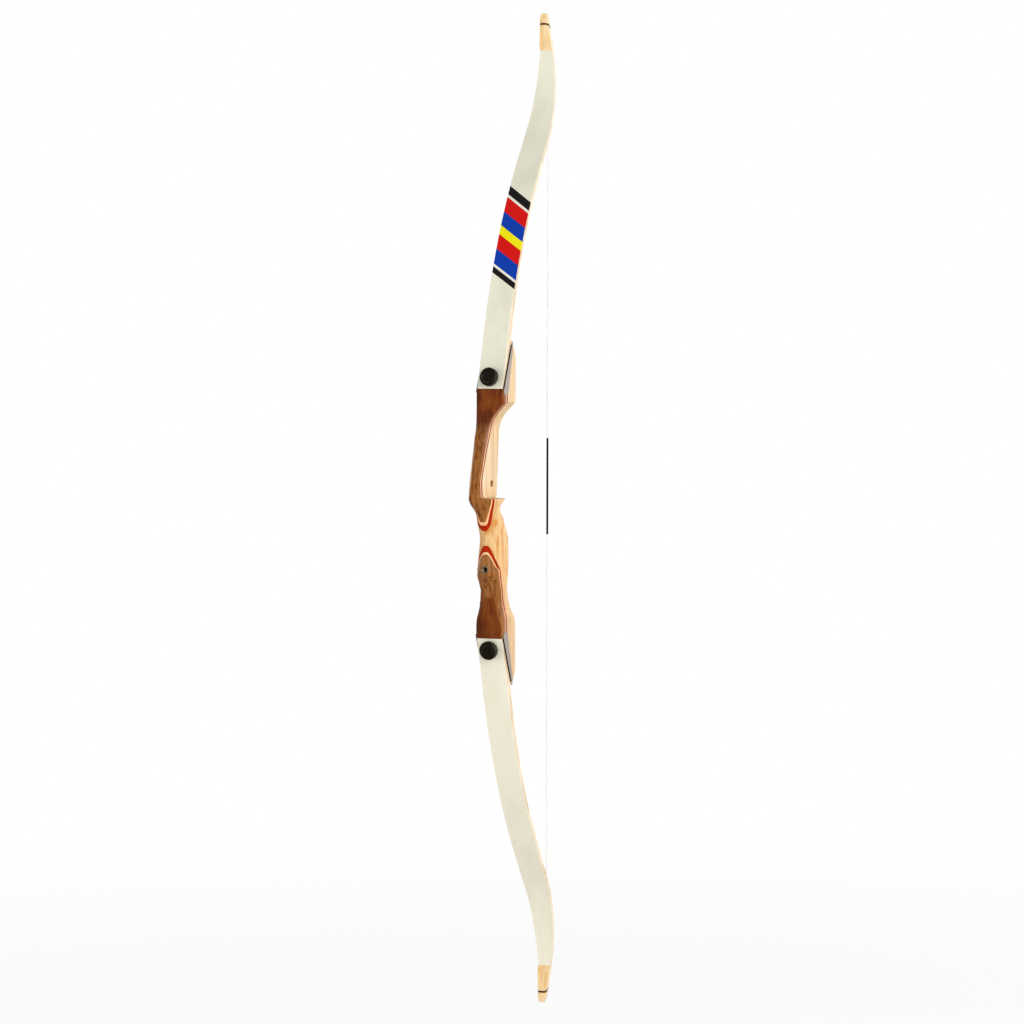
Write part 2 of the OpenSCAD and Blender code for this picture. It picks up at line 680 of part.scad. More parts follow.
module upper_left_plate() { side_plate(1); }
module upper_right_plate() { side_plate(-1); }
module lower_left_plate() { lower() side_plate(1); }
module lower_right_plate() { lower() side_plate(-1); }

// Metal fittings of the riser
module upper_bolt_insert() {
    color([0.72, 0.58, 0.32])
    at_limb(bolt_run)
    difference() {
        rod_x(-insert_len, -0.2, insert_d);
        rod_x(1.5 - insert_len, over, stud_d + 2 * running);
    }
}

module upper_locating_pin() {
    color([0.78, 0.79, 0.8])
    at_limb(pin_run)
    rotate([0, 90, 0])
    rotate_extrude($fn = 48)
    polygon([
        [0, -pin_bite], [pin_d / 2, -pin_bite], [pin_d / 2, pin_reach - 0.8],
        [pin_d / 2 - 0.8, pin_reach], [0, pin_reach]
    ]);
}

module plunger_bushing() {
    color([0.78, 0.6, 0.28])
    translate([-plunger_back, -half_w, plunger_rise])
    rotate([-90, 0, 0])
    difference() {
        cylinder(h = plunger_len, d = plunger_bush_d, $fn = 48);
        translate([0, 0, -over]) cylinder(h = plunger_len + 2 * over, d = bush_bore, $fn = 48);
    }
}

stab_face = back_x(-stab_drop) + 0.3;
module stabiliser_bushing() {
    color([0.72, 0.72, 0.7])
    translate([0, 0, -stab_drop])
    difference() {
        rod_x(stab_face - stab_bush_len, stab_face, stab_bush_d);
        rod_x(stab_face - stab_bore_depth, stab_face + over, bush_bore);
    }
}

module lower_bolt_insert() { lower() upper_bolt_insert(); }
module lower_locating_pin() { lower() upper_locating_pin(); }

// Limbs
module limb_back_glass() {
    color([0.93, 0.93, 0.88])
    difference() {
        limb_slab(4);
        bolt_hole(stud_d + 2 * hole_fit);
        nock_cut();
    }
}

module limb_front_core() {
    color([0.9, 0.74, 0.5])
    difference() {
        limb_slab(3);
        bolt_hole(stud_d + 2 * hole_fit);
        nock_cut();
    }
}

module limb_wedge() {
    color([0.87, 0.7, 0.45])
    difference() {
        limb_slab(2, 0, wedge_end);
        bolt_hole(stud_d + 2 * hole_fit);
        pin_hole();
    }
}

module limb_rear_core() {
    color([0.9, 0.74, 0.5])
    difference() {
        limb_slab(1);
        bolt_hole(stud_d + 2 * hole_fit);
        pin_hole();
        nock_cut();
    }
}

module limb_belly_glass() {
    color([0.93, 0.93, 0.88])
    difference() {
        limb_slab(0);
        bolt_hole(stud_d + 2 * hole_fit);
        pin_hole();
        nock_cut();
    }
}

module tip_overlay() {
    color([0.89, 0.7, 0.42])
    difference() {
        limb_slab(5, limb_len - overlay_len, limb_len);
        nock_cut();
        back_groove();
    }
}

module upper_limb_back_glass() { limb_back_glass(); }
module upper_limb_front_core() { limb_front_core(); }
module upper_limb_wedge() { limb_wedge(); }
module upper_limb_rear_core() { limb_rear_core(); }
module upper_limb_belly_glass() { limb_belly_glass(); }
module upper_tip_overlay() { tip_overlay(); }
module lower_limb_back_glass() { lower() limb_back_glass(); }
module lower_limb_front_core() { lower() limb_front_core(); }
module lower_limb_wedge() { lower() limb_wedge(); }
module lower_limb_rear_core() { lower() limb_rear_core(); }
module lower_limb_belly_glass() { lower() limb_belly_glass(); }
module lower_tip_overlay() { lower() tip_overlay(); }

// Limb bolts
washer_x = level(max(0, bolt_run - washer_d / 2), 5);
knob_x = washer_x + washer_t;
stud_in_knob = knob_t - 3;
module bolt_knob() {
    color([0.08, 0.08, 0.08])
    at_limb(bolt_run)
    difference() {
        translate([knob_x, 0, 0])
        rotate([0, 90, 0])
        rotate_extrude($fn = 64)
        polygon([
            [0, 0], [knob_d / 2 - 1.5, 0], [knob_d / 2, 1.5], [knob_d / 2, knob_t - 1.2],
            [knob_d / 2 - 1.2, knob_t], [knob_d / 2 - 4, knob_t], [knob_d / 2 - 5, knob_t - 0.8],
            [0, knob_t - 0.8]
        ]);
        rod_x(knob_x - over, knob_x + stud_in_knob + running, stud_d + 2 * running);
        for (i = [0 : knob_flutes - 1])
            rotate([i * 360 / knob_flutes, 0, 0])
            translate([0, knob_d / 2 + 0.35, 0])
            rod_x(knob_x - over, knob_x + knob_t + over, 1.7, 16);
    }
}

module bolt_stud() {
    color([0.35, 0.35, 0.36])
    at_limb(bolt_run)
    rotate([0, 90, 0])
    rotate_extrude($fn = 48)
    polygon([
        [0, -stud_bite], [stud_d / 2 - 1, -stud_bite], [stud_d / 2, 1 - stud_bite],
        [stud_d / 2, knob_x + stud_in_knob], [0, knob_x + stud_in_knob]
    ]);
}

module bolt_washer() {
    color([0.1, 0.1, 0.1])
    at_limb(bolt_run)
    difference() {
        rod_x(washer_x, washer_x + washer_t, washer_d, 64);
        rod_x(washer_x - over, washer_x + washer_t + over, stud_d + hole_fit);
    }
}

module upper_bolt_knob() { bolt_knob(); }
module upper_bolt_stud() { bolt_stud(); }
module upper_bolt_washer() { bolt_washer(); }
module lower_bolt_knob() { lower() bolt_knob(); }
module lower_bolt_stud() { lower() bolt_stud(); }
module lower_bolt_washer() { lower() bolt_washer(); }

// The string leaves the limb where the belly stands straight up the bow
leave_at = hook_at + recurve_run * steep_tilt / (steep_tilt + tip_tilt);
string_v = -(string_d / 2 + string_gap);
string_x = limb_point(leave_at, 0, string_v)[0];
leave_z = limb_point(leave_at, 0, 0)[2];
join_at = nock_at - loop_len;

// A round tube along a list of points; the first and last ring face the next point
tube_sides = 8;
function unit(v) = v / norm(v);
function heading(p, i, closed) =
    let (n = len(p))
    closed ? unit(p[(i + 1) % n] - p[(i + n - 1) % n]) :
    i == 0 ? unit(p[1] - p[0]) :
    i == n - 1 ? unit(p[n - 1] - p[n - 2]) :
    unit(unit(p[i + 1] - p[i]) + unit(p[i] - p[i - 1]));
function ring(c, t, ref, r) =
    let (u = unit(cross(t, ref)), v = cross(t, u))
    [for (k = [0 : tube_sides - 1]) let (a = 360 * (k + 0.5) / tube_sides)
        c + r * (u * cos(a) + v * sin(a))];

module tube(p, r, ref) {
    n = len(p);
    rings = [for (i = [0 : n - 1]) ring(p[i], heading(p, i, false), ref, r)];
    polyhedron(
        points = flat(rings),
        faces = [
            for (k = [1 : tube_sides - 2]) [0, k, k + 1],
            for (k = [1 : tube_sides - 2])
                [(n - 1) * tube_sides, (n - 1) * tube_sides + k + 1, (n - 1) * tube_sides + k],
            for (i = [0 : n - 2]) for (k = [0 : tube_sides - 1])
                let (a = i * tube_sides + k, b = i * tube_sides + (k + 1) % tube_sides)
                each [[a, a + tube_sides, b], [b, a + tube_sides, b + tube_sides]]
        ]
    );
}

// The string's halves run from the nocking point up to where the loop begins
BELLY_STEPS = 4;
function half_string(nock_z) = [
    [string_x, 0, nock_z],
    [string_x, 0, mix(nock_z, leave_z, 0.4)],
    [string_x, 0, mix(nock_z, leave_z, 0.8)],
    [string_x, 0, leave_z - 12],
    for (i = [0 : BELLY_STEPS]) limb_point(mix(leave_at, join_at, i / BELLY_STEPS), 0, string_v)
];

module string_half(nock_z) {
    color([0.95, 0.95, 0.93])
    tube(half_string(nock_z), string_d / 2, [0, 1, 0]);
}

module upper_string() { string_half(nock_rise); }
module lower_string() { lower() string_half(2 * mid_z - nock_rise); }

// The loop: up each side of the tip, through the nocks and over the back
loop_r = loop_d / 2;
loop_v = -(loop_r + string_gap);
groove_s = nock_at + tip_t / 2 * tan(nock_lean);
side_y = tip_w / 2 - nock_depth + loop_r + 0.3;
function nock_s(v) = nock_at + (v - tip_t / 2) * tan(nock_lean);
LOOP_SIDE = [
    [join_at + 2.2, 1.3, loop_v], [join_at + 5, 1.75, loop_v], [join_at + 12, 2.5, loop_v],
    [join_at + 20, 3.5, loop_v], [nock_at - 15, 4.7, loop_v],
    [nock_s(loop_v) - 2, side_y - 0.3, loop_v], [nock_s(loop_v + 0.5), side_y, loop_v + 0.5],
    [nock_s(tip_t / 4), side_y, tip_t / 4], [nock_s(tip_t * 3 / 4), side_y, tip_t * 3 / 4],
    [groove_s - 0.5, side_y - 0.25, groove_x - 1], [groove_s, side_y - 1.15, groove_x],
    [groove_s, 2.2, groove_x]
];
function mirrored(p) = [for (i = [len(p) - 1 : -1 : 0]) [p[i][0], -p[i][1], p[i][2]]];
LOOP = [[join_at + loop_r + 0.1, 0, loop_v], each LOOP_SIDE, each mirrored(LOOP_SIDE)];

module loop_serving() {
    p = [for (q = LOOP) limb_point(q[0], q[1], q[2])];
    n = len(p);
    turn = nock_lean - tip_tilt;
    rings = [for (i = [0 : n - 1]) ring(p[i], heading(p, i, true), [-sin(turn), 0, cos(turn)], loop_r)];
    color([0.12, 0.11, 0.1])
    polyhedron(
        points = flat(rings),
        faces = [
            for (i = [0 : n - 1]) for (k = [0 : tube_sides - 1])
                let (j = (i + 1) % n, a = i * tube_sides + k, b = i * tube_sides + (k + 1) % tube_sides)
                let (c = j * tube_sides + k, d = j * tube_sides + (k + 1) % tube_sides)
                each [[a, c, b], [b, c, d]]
        ]
    );
}

module upper_loop_serving() { loop_serving(); }
module lower_loop_serving() { lower() loop_serving(); }

module serving(z0, z1) {
    color([0.1, 0.1, 0.1])
    translate([string_x, 0, z0])
    difference() {
        cylinder(h = z1 - z0, d = serving_d, $fn = 24);
        translate([0, 0, -over]) cylinder(h = z1 - z0 + 2 * over, d = string_d + 0.1, $fn = 24);
    }
}

module upper_centre_serving() { serving(nock_rise, nock_rise + serving_up); }
module lower_centre_serving() { serving(nock_rise - serving_down, nock_rise); }

riser_belly_block();
upper_back_block();
lower_back_block();
upper_red_veneer();
lower_red_veneer();
upper_pale_veneer();
lower_pale_veneer();
upper_left_plate();
upper_right_plate();
lower_left_plate();
lower_right_plate();
upper_bolt_insert();
lower_bolt_insert();
upper_locating_pin();
lower_locating_pin();
plunger_bushing();
stabiliser_bushing();
upper_limb_back_glass();
upper_limb_front_core();
upper_limb_wedge();
upper_limb_rear_core();
upper_limb_belly_glass();
upper_tip_overlay();
lower_limb_back_glass();
lower_limb_front_core();
lower_limb_wedge();
lower_limb_rear_core();
lower_limb_belly_glass();
lower_tip_overlay();
upper_bolt_knob();
upper_bolt_stud();
upper_bolt_washer();
lower_bolt_knob();
lower_bolt_stud();
lower_bolt_washer();
upper_string();
lower_string();
upper_loop_serving();
lower_loop_serving();
upper_centre_serving();
lower_centre_serving();
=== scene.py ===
import logging
import math
from dataclasses import dataclass
from enum import Enum

import bmesh
import bpy
from mathutils import Matrix, Vector


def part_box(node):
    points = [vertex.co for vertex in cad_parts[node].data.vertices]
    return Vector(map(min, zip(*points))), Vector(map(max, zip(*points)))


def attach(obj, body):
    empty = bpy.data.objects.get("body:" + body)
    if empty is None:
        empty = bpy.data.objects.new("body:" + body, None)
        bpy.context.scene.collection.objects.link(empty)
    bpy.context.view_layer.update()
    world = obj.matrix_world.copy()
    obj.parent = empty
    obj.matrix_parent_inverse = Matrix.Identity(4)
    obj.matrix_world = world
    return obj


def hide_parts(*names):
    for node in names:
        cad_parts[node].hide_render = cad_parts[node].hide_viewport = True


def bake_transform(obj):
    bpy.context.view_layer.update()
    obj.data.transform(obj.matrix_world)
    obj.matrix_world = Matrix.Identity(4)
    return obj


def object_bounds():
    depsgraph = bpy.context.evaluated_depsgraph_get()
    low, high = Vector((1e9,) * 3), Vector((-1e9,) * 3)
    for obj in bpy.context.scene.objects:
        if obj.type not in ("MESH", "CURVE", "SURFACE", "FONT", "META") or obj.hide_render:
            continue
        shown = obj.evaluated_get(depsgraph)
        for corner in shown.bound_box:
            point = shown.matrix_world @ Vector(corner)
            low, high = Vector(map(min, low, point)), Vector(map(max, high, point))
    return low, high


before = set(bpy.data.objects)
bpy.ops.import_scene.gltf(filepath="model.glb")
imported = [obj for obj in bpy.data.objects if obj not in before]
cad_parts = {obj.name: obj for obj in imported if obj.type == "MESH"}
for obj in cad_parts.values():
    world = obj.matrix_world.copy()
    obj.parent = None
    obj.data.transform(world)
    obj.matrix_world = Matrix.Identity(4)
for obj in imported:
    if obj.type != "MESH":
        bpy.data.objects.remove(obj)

CAD_BOX = [list(corner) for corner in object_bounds()]

log = logging.getLogger("recurve_bow")

MM = 0.001
# Height that grain, fibres and tool marks stand out by, in metres
RELIEF = 0.0002
# Refractive index of clear varnish and laminate, and of glass fibre in resin
VARNISH_IOR = 1.5
RESIN_IOR = 1.52
# About how many bands a wave texture draws in one unit
BANDS_IN_UNIT = 3.1415
# Angle in degrees from which an edge stays sharp, for each way of making a piece
SHAPED = 13.0
SAWN = 20.0
TURNED = 28.0
PRESSED = 30.0
TWISTED = 60.0
WOUND = 80.0
ROUNDED = 180.0
# Distances in metres within which the corners of a copied and of a turned mesh are one
COPIED_JOIN = 0.000002
TURNED_JOIN = 0.000003
# Height of the bow's middle, about which its two ends mirror each other
MID_Z = -0.008


def linear(code: str) -> tuple[float, float, float, float]:
    """Turn an sRGB hex colour into linear values.

    Args:
        code: Six hex digits, without a hash sign.

    Returns:
        Red, green, blue and an alpha of one.
    """
    parts = [int(code[i:i + 2], 16) / 255 for i in (0, 2, 4)]
    r, g, b = (c / 12.92 if c <= 0.04045 else ((c + 0.055) / 1.055) ** 2.4 for c in parts)
    return (r, g, b, 1.0)


def add(tree: bpy.types.NodeTree, kind: str, inputs: dict | None = None,
        **settings: object) -> bpy.types.Node:
    """Add one shader node with its settings, and set or link its inputs.

    Args:
        tree: Node tree that gets the node.
        kind: The node's type name.
        inputs: Input name or number to a value or to a socket to link from.
        **settings: Attributes to set on the node.

    Returns:
        The new node.
    """
    made = tree.nodes.new(kind)
    for name, value in settings.items():
        setattr(made, name, value)
    for name, value in (inputs or {}).items():
        if isinstance(value, bpy.types.NodeSocket):
            tree.links.new(value, made.inputs[name])
        else:
            made.inputs[name].default_value = value
    return made


def ramp(tree: bpy.types.NodeTree, factor: bpy.types.NodeSocket, stops: list[tuple[float, str]],
         steps: bool = False) -> bpy.types.NodeSocket:
    """Colour a factor by a list of stops.

    Args:
        tree: Node tree to build in.
        factor: Socket that gives the place along the ramp.
        stops: Place and sRGB hex colour of each stop, in order.
        steps: Whether the colours change in steps.

    Returns:
        The colour socket.
    """
    made = add(tree, "ShaderNodeValToRGB", {"Fac": factor})
    made.color_ramp.interpolation = "CONSTANT" if steps else "LINEAR"
    elements = made.color_ramp.elements
    while len(elements) < len(stops):
        elements.new(0.5)
    for element, (place, code) in zip(elements, stops):
        element.position = place
        element.color = linear(code)
    return made.outputs["Color"]


def shader(name: str) -> tuple[bpy.types.Material, bpy.types.NodeTree, bpy.types.Node,
                               bpy.types.NodeSocket]:
    """Start a material.

    Args:
        name: Name of the finish.

    Returns:
        The material, its tree, its surface shader and the object coordinates.
    """
    material = bpy.data.materials.new(name)
    material.use_nodes = True
    tree = material.node_tree
    surface = tree.nodes["Principled BSDF"]
    return material, tree, surface, add(tree, "ShaderNodeTexCoord").outputs["Object"]


def scaled(tree: bpy.types.NodeTree, place: bpy.types.NodeSocket, size_mm: tuple[float, float, float],
           turn: tuple[float, float, float] = (0, 0, 0)) -> bpy.types.NodeSocket:
    """Stretch coordinates so that one unit is a real size in each direction.

    Args:
        tree: Node tree to build in.
        place: Coordinates in metres.
        size_mm: Millimetres that become one unit, in X, Y and Z.
        turn: Turn of the pattern, in radians.

    Returns:
        The stretched coordinates.
    """
    return add(tree, "ShaderNodeMapping", {
        "Vector": place, "Scale": tuple(1000 / s for s in size_mm), "Rotation": turn,
    }).outputs["Vector"]


@dataclass(frozen=True)
class Wood:
    """Solid wood under clear varnish, its grain along the bow.

    The growth rings show as soft bands, the pores as fine dark dashes or long lines, and a flamed
    stretch as warm clouds across the grain.
    """

    name: str
    light: str
    middle: str
    dark: str
    pore: str
    ring_mm: float
    pore_share: float
    gloss: float
    sheen: float
    # How long a ring runs, how wide a pore is and how many times that long, and how rings waver
    run_mm: float = 140.0
    pore_mm: float = 0.9
    pore_run: float = 28.0
    wander: float = 0.6
    tilt: tuple[float, float, float] = (0.0, 0.0, 0.0)
    # The flamed stretch: its two colours, its heights, its clouds and how softly it starts and ends
    flame: str = ""
    flame_deep: str = ""
    flame_z: tuple[float, float] = (0.0, 0.0)
    flame_mm: tuple[float, float, float] = (11.0, 15.0, 30.0)
    flame_from: float = 0.55
    flame_fade: tuple[float, float] = (0.001, 0.012)
    flame_curl: float = 0.4
    # The strip of painted light on one bevel, where the flame colour runs on, and the painted shade
    # beside that strip along the crease
    edge_z: tuple[float, float] = (0.0, 0.0)
    edge_y: float = 0.0
    lit_bevel_curve: float = 2.2
    lit_bevel_soft: float = 0.001
    streak_w: float = 0.005
    crease_shade_dark: float = 0.75
    crease_shade_grows: tuple[float, float] = (0.1, 0.3)

    def make(self) -> bpy.types.Material:
        """Build the finish.

        Returns:
            Its material.
        """
        material, tree, surface, place = shader(self.name)
        bands = add(tree, "ShaderNodeTexNoise", {
            "Vector": scaled(tree, place, (self.ring_mm, self.ring_mm, self.run_mm), self.tilt),
            "Scale": 1.0, "Detail": 4.0, "Roughness": 0.62, "Distortion": self.wander,
        })
        slow = add(tree, "ShaderNodeTexNoise", {
            "Vector": scaled(tree, place, (self.ring_mm * 5, self.ring_mm * 5, self.run_mm * 1.4),
                             self.tilt),
            "Scale": 1.0, "Detail": 2.0, "Roughness": 0.5,
        })
        both = add(tree, "ShaderNodeMath", {0: bands.outputs["Fac"], 1: slow.outputs["Fac"]},
                   operation="ADD")
        half = add(tree, "ShaderNodeMath", {0: both.outputs[0], 1: 0.5}, operation="MULTIPLY")
        colour = ramp(tree, half.outputs[0],
                      [(0.38, self.dark), (0.48, self.middle), (0.6, self.light)])
        if self.flame:
            colour = self.flamed(tree, place, colour)
        pores = add(tree, "ShaderNodeTexNoise", {
            "Vector": scaled(tree, place, (self.pore_mm, self.pore_mm, self.pore_mm * self.pore_run),
                             self.tilt),
            "Scale": 1.0, "Detail": 2.0, "Roughness": 0.7,
        })
        dash = add(tree, "ShaderNodeMapRange", {
            "Value": pores.outputs["Fac"], "From Min": 0.54, "From Max": 0.72,
            "To Min": 0.0, "To Max": self.pore_share,
        })
        mixed = add(tree, "ShaderNodeMix", {0: dash.outputs[0], 6: colour, 7: linear(self.pore)},
                    data_type="RGBA")
        rough = add(tree, "ShaderNodeMapRange", {
            "Value": pores.outputs["Fac"], "From Min": 0.3, "From Max": 0.8,
            "To Min": self.gloss - 0.05, "To Max": self.gloss + 0.12,
        })
        bump = add(tree, "ShaderNodeBump", {"Height": pores.outputs["Fac"], "Strength": 0.06,
                                            "Distance": RELIEF})
        tree.links.new(mixed.outputs[2], surface.inputs["Base Color"])
        tree.links.new(rough.outputs[0], surface.inputs["Roughness"])
        tree.links.new(bump.outputs[0], surface.inputs["Normal"])
        surface.inputs["IOR"].default_value = VARNISH_IOR
        surface.inputs["Specular IOR Level"].default_value = self.sheen
        return material

    def flamed(self, tree: bpy.types.NodeTree, place: bpy.types.NodeSocket,
               under: bpy.types.NodeSocket) -> bpy.types.NodeSocket:
        """Warm the wood in clouds along a stretch of the bow.

        Args:
            tree: Node tree to build in.
            place: Coordinates in metres.
            under: Colour of the plain wood.

        Returns:
            The colour with the flame in it.
        """
        clouds = add(tree, "ShaderNodeTexNoise", {
            "Vector": scaled(tree, place, self.flame_mm, (0.5, 0.2, 0)), "Scale": 1.0, "Detail": 3.0,
            "Roughness": 0.55, "Distortion": self.flame_curl,
        })
        share = add(tree, "ShaderNodeMapRange", {
            "Value": clouds.outputs["Fac"], "From Min": 0.42, "From Max": 0.66,
            "To Min": self.flame_from, "To Max": 1.0,
        })
        height = add(tree, "ShaderNodeSeparateXYZ", {0: place}).outputs["Z"]
        (low, high), (soft_low, soft_high) = self.flame_z, self.flame_fade
        rise = add(tree, "ShaderNodeMapRange", {
            "Value": height, "From Min": low - soft_low, "From Max": low + soft_low})
        fall = add(tree, "ShaderNodeMapRange", {
            "Value": height, "From Min": high + soft_high, "From Max": high - soft_high})
        zone = add(tree, "ShaderNodeMath", {0: rise.outputs[0], 1: fall.outputs[0]},
                   operation="MULTIPLY")
        # painted light on the lower block's left bevel, with painted shade along its crease
        if self.edge_y:
            zone = self.paint_lit_bevel(tree, place, zone.outputs[0])
        factor = add(tree, "ShaderNodeMath", {0: share.outputs[0], 1: zone.outputs[0]},
                     operation="MULTIPLY")
        warm = ramp(tree, clouds.outputs["Fac"], [(0.42, self.flame), (0.6, self.flame_deep)])
        return add(tree, "ShaderNodeMix", {0: factor.outputs[0], 6: under, 7: warm},
                   data_type="RGBA").outputs[2]

    def paint_lit_bevel(self, tree: bpy.types.NodeTree, place: bpy.types.NodeSocket,
              zone: bpy.types.NodeSocket) -> bpy.types.Node:
        """Paint light on the archer's left bevel: the flame colour runs on there in a strip that narrows
        towards the butt, with painted shade beside it along the crease.

        Args:
            tree: Node tree to build in.
            place: Coordinates in metres.
            zone: Share of the flame without the strip.

        Returns:
            The node that gives the share with the strip.
        """
        axes = add(tree, "ShaderNodeSeparateXYZ", {0: place})
        start, end = self.edge_z
        way = add(tree, "ShaderNodeMapRange", {
            "Value": axes.outputs["Z"], "From Min": start, "From Max": end})
        curve = add(tree, "ShaderNodeMath", {0: way.outputs[0], 1: self.lit_bevel_curve}, operation="POWER")
        inner = add(tree, "ShaderNodeMath", {0: curve.outputs[0], 1: self.edge_y}, operation="MULTIPLY")
        past = add(tree, "ShaderNodeMath", {0: axes.outputs["Y"], 1: inner.outputs[0]},
                   operation="SUBTRACT")
        # painted light: the strip past the boundary takes the paler flame colour
        soft = add(tree, "ShaderNodeMapRange", {
            "Value": past.outputs[0], "From Min": 0.0, "From Max": self.lit_bevel_soft})
        low = add(tree, "ShaderNodeMath", {0: axes.outputs["Z"], 1: start}, operation="LESS_THAN")
        strip = add(tree, "ShaderNodeMath", {0: soft.outputs[0], 1: low.outputs[0]},
                    operation="MULTIPLY")
        # painted shade: a dark line just inside the lit strip, along the crease, growing towards the
        # butt
        near = add(tree, "ShaderNodeMapRange", {
            "Value": past.outputs[0], "From Min": -self.streak_w, "From Max": 0.0,
            "To Max": self.crease_shade_dark})
        grows = add(tree, "ShaderNodeMapRange", {
            "Value": way.outputs[0], "From Min": self.crease_shade_grows[0], "From Max": self.crease_shade_grows[1]})
        streak = add(tree, "ShaderNodeMath", {0: near.outputs[0], 1: grows.outputs[0]},
                     operation="MULTIPLY")
        kept = add(tree, "ShaderNodeMath", {0: 1.0, 1: streak.outputs[0]}, operation="SUBTRACT")
        front = add(tree, "ShaderNodeMath", {0: zone, 1: kept.outputs[0]}, operation="MULTIPLY")
        return add(tree, "ShaderNodeMath", {0: front.outputs[0], 1: strip.outputs[0]},
                   operation="MAXIMUM")


@dataclass(frozen=True)
class GlassFacing:
    """White glass fibre in resin, pressed smooth: fine fibres along the limb under a soft gloss.

    Where a print is asked for, plain slanted bars of colour lie under the resin.
    """

    name: str
    body: str = "F5F0DC"
    fibre: str = "EEE7D2"
    bars: tuple[tuple[float, str], ...] = ()
    print_z: tuple[float, float] = (0.0, 0.0)
    print_half_w: float = 0.024
    slant: float = 0.62

    def make(self) -> bpy.types.Material:
        """Build the finish.

        Returns:
            Its material.
        """
        material, tree, surface, place = shader(self.name)
        fibres = add(tree, "ShaderNodeTexNoise", {
            "Vector": scaled(tree, place, (1.2, 1.2, 60)), "Scale": 1.0, "Detail": 3.0,
            "Roughness": 0.6,
        })
        clouds = add(tree, "ShaderNodeTexNoise", {
            "Vector": scaled(tree, place, (30, 30, 120)), "Scale": 1.0, "Detail": 2.0, "Roughness": 0.5,
        })
        shade = add(tree, "ShaderNodeMath", {0: fibres.outputs["Fac"], 1: clouds.outputs["Fac"]},
                    operation="ADD")
        half = add(tree, "ShaderNodeMath", {0: shade.outputs[0], 1: 0.5}, operation="MULTIPLY")
        colour = ramp(tree, half.outputs[0], [(0.38, self.fibre), (0.56, self.body)])
        if self.bars:
            colour = self.printed(tree, place, colour)
        bump = add(tree, "ShaderNodeBump", {"Height": fibres.outputs["Fac"], "Strength": 0.04,
                                            "Distance": RELIEF})
        tree.links.new(colour, surface.inputs["Base Color"])
        tree.links.new(bump.outputs[0], surface.inputs["Normal"])
        surface.inputs["Roughness"].default_value = 0.36
        surface.inputs["IOR"].default_value = RESIN_IOR
        surface.inputs["Specular IOR Level"].default_value = 0.1
        return material

    def printed(self, tree: bpy.types.NodeTree, place: bpy.types.NodeSocket,
                under: bpy.types.NodeSocket) -> bpy.types.NodeSocket:
        """Lay the bars over the body colour.

        Args:
            tree: Node tree to build in.
            place: Coordinates in metres.
            under: Colour of the bare facing.

        Returns:
            The colour with the bars on it.
        """
        axes = add(tree, "ShaderNodeSeparateXYZ", {0: place})
        across = axes.outputs["Y"]
        lean = add(tree, "ShaderNodeMath", {0: across, 1: self.slant}, operation="MULTIPLY")
        along = add(tree, "ShaderNodeMath", {0: axes.outputs["Z"], 1: lean.outputs[0]},
                    operation="ADD")
        share = add(tree, "ShaderNodeMapRange", {
            "Value": along.outputs[0], "From Min": self.print_z[0], "From Max": self.print_z[1],
        }, clamp=False)
        bar = ramp(tree, share.outputs[0], list(self.bars), steps=True)
        side = add(tree, "ShaderNodeMath", {0: across}, operation="ABSOLUTE")
        within = add(tree, "ShaderNodeMath", {0: side.outputs[0], 1: self.print_half_w},
                     operation="LESS_THAN")
        above = add(tree, "ShaderNodeMath", {0: share.outputs[0], 1: 0.0}, operation="GREATER_THAN")
        below = add(tree, "ShaderNodeMath", {0: share.outputs[0], 1: 1.0}, operation="LESS_THAN")
        band = add(tree, "ShaderNodeMath", {0: above.outputs[0], 1: below.outputs[0]},
                   operation="MULTIPLY")
        mask = add(tree, "ShaderNodeMath", {0: band.outputs[0], 1: within.outputs[0]},
                   operation="MULTIPLY")
        return add(tree, "ShaderNodeMix", {0: mask.outputs[0], 6: under, 7: bar},
                   data_type="RGBA").outputs[2]


@dataclass(frozen=True)
class Metal:
    """Turned metal: fine marks from the lathe and small changes of sheen from handling.

    Real marks are about a tenth of a millimetre wide. They are drawn 0.6 mm wide, and the patches of
    wear 6 mm wide, so that they show.
    """

    name: str
    body: str
    worn: str
    rough: float
    metallic: float = 1.0
    speck_mm: float = 1.5
    sheen: float = 0.5

    def make(self) -> bpy.types.Material:
        """Build the finish.

        Returns:
            Its material.
        """
        material, tree, surface, place = shader(self.name)
        wear = add(tree, "ShaderNodeTexNoise", {
            "Vector": scaled(tree, place, (self.speck_mm * 4,) * 3), "Scale": 1.0, "Detail": 4.0,
            "Roughness": 0.6,
        })
        fine = add(tree, "ShaderNodeTexNoise", {
            "Vector": scaled(tree, place, (self.speck_mm * 0.4,) * 3), "Scale": 1.0, "Detail": 2.0,
        })
        colour = ramp(tree, wear.outputs["Fac"], [(0.42, self.body), (0.72, self.worn)])
        rough = add(tree, "ShaderNodeMapRange", {
            "Value": wear.outputs["Fac"], "From Min": 0.3, "From Max": 0.7,
            "To Min": self.rough - 0.06, "To Max": self.rough + 0.1,
        })
        bump = add(tree, "ShaderNodeBump", {"Height": fine.outputs["Fac"], "Strength": 0.08,
                                            "Distance": RELIEF})
        tree.links.new(colour, surface.inputs["Base Color"])
        tree.links.new(rough.outputs[0], surface.inputs["Roughness"])
        tree.links.new(bump.outputs[0], surface.inputs["Normal"])
        surface.inputs["Metallic"].default_value = self.metallic
        surface.inputs["Specular IOR Level"].default_value = self.sheen
        return material


